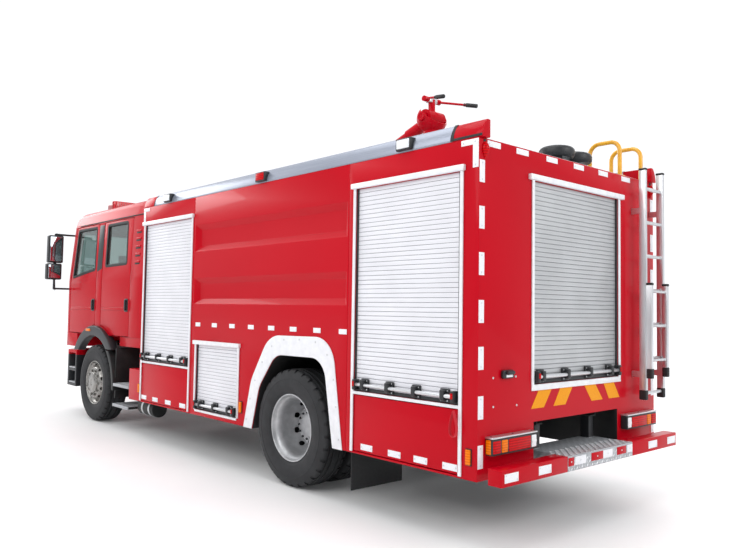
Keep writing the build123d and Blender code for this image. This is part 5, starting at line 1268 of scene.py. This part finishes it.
def cushion(name, low, high, crown, axis, channels):
    """A foam pad: a box divided and rounded, its face crowned and pulled in along sewn channels."""
    pad = start_box(name, low, high)
    bpy.ops.object.mode_set(mode="EDIT")
    bpy.ops.mesh.select_all(action="SELECT")
    bpy.ops.mesh.subdivide(number_cuts=23)
    bpy.ops.object.mode_set(mode="OBJECT")
    size = [b - a for a, b in zip(low, high)]
    flat = [n for n in range(3) if n != axis]
    for vert in pad.data.vertices:
        share = [(vert.co[n] - low[n]) / size[n] * 2 - 1 for n in range(3)]
        swell = (1 - share[flat[0]] ** 4) * (1 - share[flat[1]] ** 4)
        groove = max(math.exp(-((share[1] - c) / 0.05) ** 2) for c in channels)
        if share[axis] > 0:
            vert.co[axis] += (crown * swell - 0.014 * groove * swell) * share[axis] - crown
        for n in flat:
            pull = 0.012 * max(1 - abs(share[axis]), 0) ** 0.5
            vert.co[n] -= share[n] * pull * (0.4 if abs(share[n]) < 0.99 else 0)
            vert.co[n] -= share[n] * 0.02 * abs(share[axis]) ** 6
    round_edges(pad, 0, 2, 70)
    smooth = pad.modifiers.new("soft", "SMOOTH")
    smooth.factor = 0.5
    smooth.iterations = 4
    bpy.ops.object.modifier_apply(modifier="soft")
    carry(pad, "cab", woven_cloth)
    return pad


floor_level = 1.24
plinths = []
for place_name, x, y0, y1 in (("driver", 3.01, 0.42, 0.9), ("crew", 3.01, -0.9, -0.42),
                              ("rear_left", 1.78, 0.31, 0.9),
                              ("rear_middle", 1.78, -0.295, 0.295), ("rear_right", 1.78, -0.9, -0.31)):
    middle = (y0 + y1) / 2
    cushion(f"seat_{place_name}", (x + 0.01, y0, floor_level + 0.26), (x + 0.44, y1, floor_level + 0.42),
            0.02, 2, (-0.45, 0.45))
    cushion(f"seat_back_{place_name}", (x - 0.105, y0, floor_level + 0.3),
            (x - 0.002, y1, floor_level + 0.86),
            0.016, 0, (-0.45, 0.45))
    cushion(f"head_rest_{place_name}", (x - 0.1, middle - 0.14, floor_level + 0.9),
            (x - 0.02, middle + 0.14, floor_level + 1.07), 0.012, 0, (9, 9))
    base = start_box("plinth", (x + 0.06, y0 + 0.06, floor_level), (x + 0.38, y1 - 0.06, floor_level + 0.262))
    plinths.append(round_edges(base, 0.012, 3))
    for y in (middle - 0.07, middle + 0.07):
        stalk = start_disc("stalk", 0.008, floor_level + 0.84, floor_level + 0.92, 12)
        stalk.data.transform(Matrix.Translation((x - 0.06, y, 0)))
        plinths.append(round_edges(stalk, 0))
plinth = carry(join_up("seat_plinths", plinths), "cab", chassis_black)
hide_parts("cab_benches")
dress("dashboard", grained_plastic, 0.01, 3)

# Roof monitor: a cast water cannon on a flanged riser. The bowl turns on the riser, the barrel tilts,
# and two steel handlebars with rubber grips steer it by hand. All castings are sprayed red.
for node in ("monitor_riser", "monitor_body"):
    dress(node, red_enamel, 0.004, 3)
dress("monitor_barrel", red_enamel, 0.0006, 1)
flange_bolt = coated(round_edges(start_disc("bolt", 0.013, 0, 0.013, 6), 0.002), brushed_alloy)
flange_places = [Matrix.Translation((-2.41 + 0.125 * math.cos(math.tau * n / 10),
                                     0.125 * math.sin(math.tau * n / 10), 2.804))
                 for n in range(10)]
carry(copy_to(flange_bolt, "riser_bolts", flange_places), "chassis", None)
grips = []
for head, end in (((-2.4, 0.095, 3.626), (-2.7, 0.16, 3.57)), ((-2.4, -0.095, 3.626), (-2.8, -0.2, 3.53))):
    pull = Vector(end) - Vector(head)
    lean = pull.to_track_quat("Z", "Y").to_matrix().to_4x4()
    for start, finish, radius in ((-0.002, 0.116, 0.0195), (0.125, 0.14, 0.016)):
        grip = start_disc("grip", radius, pull.length - finish, pull.length - start, 32)
        grip.data.transform(Matrix.Translation(head) @ lean)
        grips.append(round_edges(grip, 0.004, 3))
carry(join_up("monitor_grips", grips), "monitor_barrel", black_rubber)
rings = []
lean = Vector((0.312, 0, -0.112)).to_track_quat("Z", "Y").to_matrix().to_4x4()
for start, finish in ((-0.004, 0.02), (0.078, 0.0995)):
    ring = start_disc("ring", 0.071, start, finish, 48)
    ring.data.transform(Matrix.Translation((-1.844, 0, 3.2368)) @ lean)
    rings.append(round_edges(ring, 0.003))
carry(join_up("nozzle_rings", rings), "monitor_barrel", black_rubber)
clamp = start_box("head_clamp", (-2.43, -0.055, 3.597), (-2.37, 0.055, 3.6545))
carry(round_edges(clamp, 0.008, 3), "monitor_barrel", brushed_alloy)

# Roof deck: aluminium tread plate screwed over the body's flat top, so that the crew can walk to the monitor.
# Its lozenges are too many to model here, so the material raises them, 34 mm apart, and paints their tops
# lighter and the plate between them darker: painted highlight and painted shade.
deck_plate, place = new_finish("rolled_deck_plate", {"Metallic": 0.7, "Roughness": 0.4})
grid = add_node(deck_plate, "TexChecker", {"Scale": 1000 / 34}, {"Vector": place}, out=1)
slanted = []
for turned in (0.7854, -0.7854):
    spun_round = add_node(deck_plate, "Mapping", {"Rotation": (0, 0, turned)}, {"Vector": place})
    slanted.append(add_node(deck_plate, "TexWave", {"Scale": 1000 / 24 / 6.2832, "wave_profile": "SIN"},
                            {"Vector": spun_round}, out=1))
height = add_node(deck_plate, "Mix", {"data_type": "FLOAT"}, {0: grid, 2: slanted[0], 3: slanted[1]})
# Lighter on the raised lozenges, darker between them: painted highlight and painted shade.
add_node(deck_plate, "ValToRGB", {"stops": ((0.4, "#9FA3A8"), (0.9, "#CACDD0"))}, {"Fac": height},
         into="Base Color")
add_node(deck_plate, "Bump", {"Strength": 0.6, "Distance": 0.003}, {"Height": height}, into="Normal")
decks = []
for x0, x1 in ((-3.998, -2.67), (-2.646, -1.38), (-1.356, -0.09), (-0.066, 1.182)):
    decks.append(round_edges(start_box("deck", (x0, -1.15, 2.7795), (x1, 1.15, 2.784)), 0.0015))
deck = join_up("roof_deck_plates", decks)
carry(deck, "chassis", deck_plate)
hatch_lid = [round_edges(start_box("lid", (-1.62, -0.32, 2.783), (-1.0, 0.32, 2.86)), 0.02, 4)]
hatch_lid.append(round_edges(start_box("collar", (-1.66, -0.36, 2.783), (-0.96, 0.36, 2.805)), 0.006, 3))
carry(join_up("tank_hatch", hatch_lid), "chassis", red_enamel)

# Pull strap: a loop of red polyester webbing, 28 mm wide, sewn shut and hung over the lift bar's end,
# so that a short person can pull the shutter down. It hangs straight under its own weight.
red_webbing, place = new_finish("red_polyester_webbing", {"Roughness": 0.85, "Sheen Weight": 0.2})
twill = add_node(red_webbing, "TexWave", {"Scale": 1000 / 3 / 6.2832, "bands_direction": "DIAGONAL"},
                 {"Vector": place})
add_node(red_webbing, "ValToRGB", {"stops": ((0.2, "#C20F22"), (0.8, "#DA2236"))}, {"Fac": twill},
         into="Base Color")
add_node(red_webbing, "Bump", {"Strength": 0.2, "Distance": 0.0006}, {"Height": twill}, into="Normal")
webbing_width = 0.028
drop = []
for n in range(33):
    turn = math.tau * n / 32
    narrow = 0.042 * math.sin(turn) * math.sin(turn / 2) ** 1.2
    drop.append((-3.829 + narrow, 1.272, 0.9 - 0.09 * (1 - math.cos(turn))))
strap = start_line("pull_strap", drop)
bpy.ops.mesh.select_all(action="SELECT")
bpy.ops.mesh.remove_doubles(threshold=0.0001)
bpy.ops.mesh.extrude_region_move(TRANSFORM_OT_translate={"value": (0, webbing_width, 0)})
close_mesh(strap)
cloth = strap.modifiers.new("cloth", "SOLIDIFY")
cloth.thickness = 0.0016
cloth.offset = 0
only(strap)
bpy.ops.object.modifier_apply(modifier="cloth")
carry(round_edges(strap, 0, 2, 50), "chassis", red_webbing)
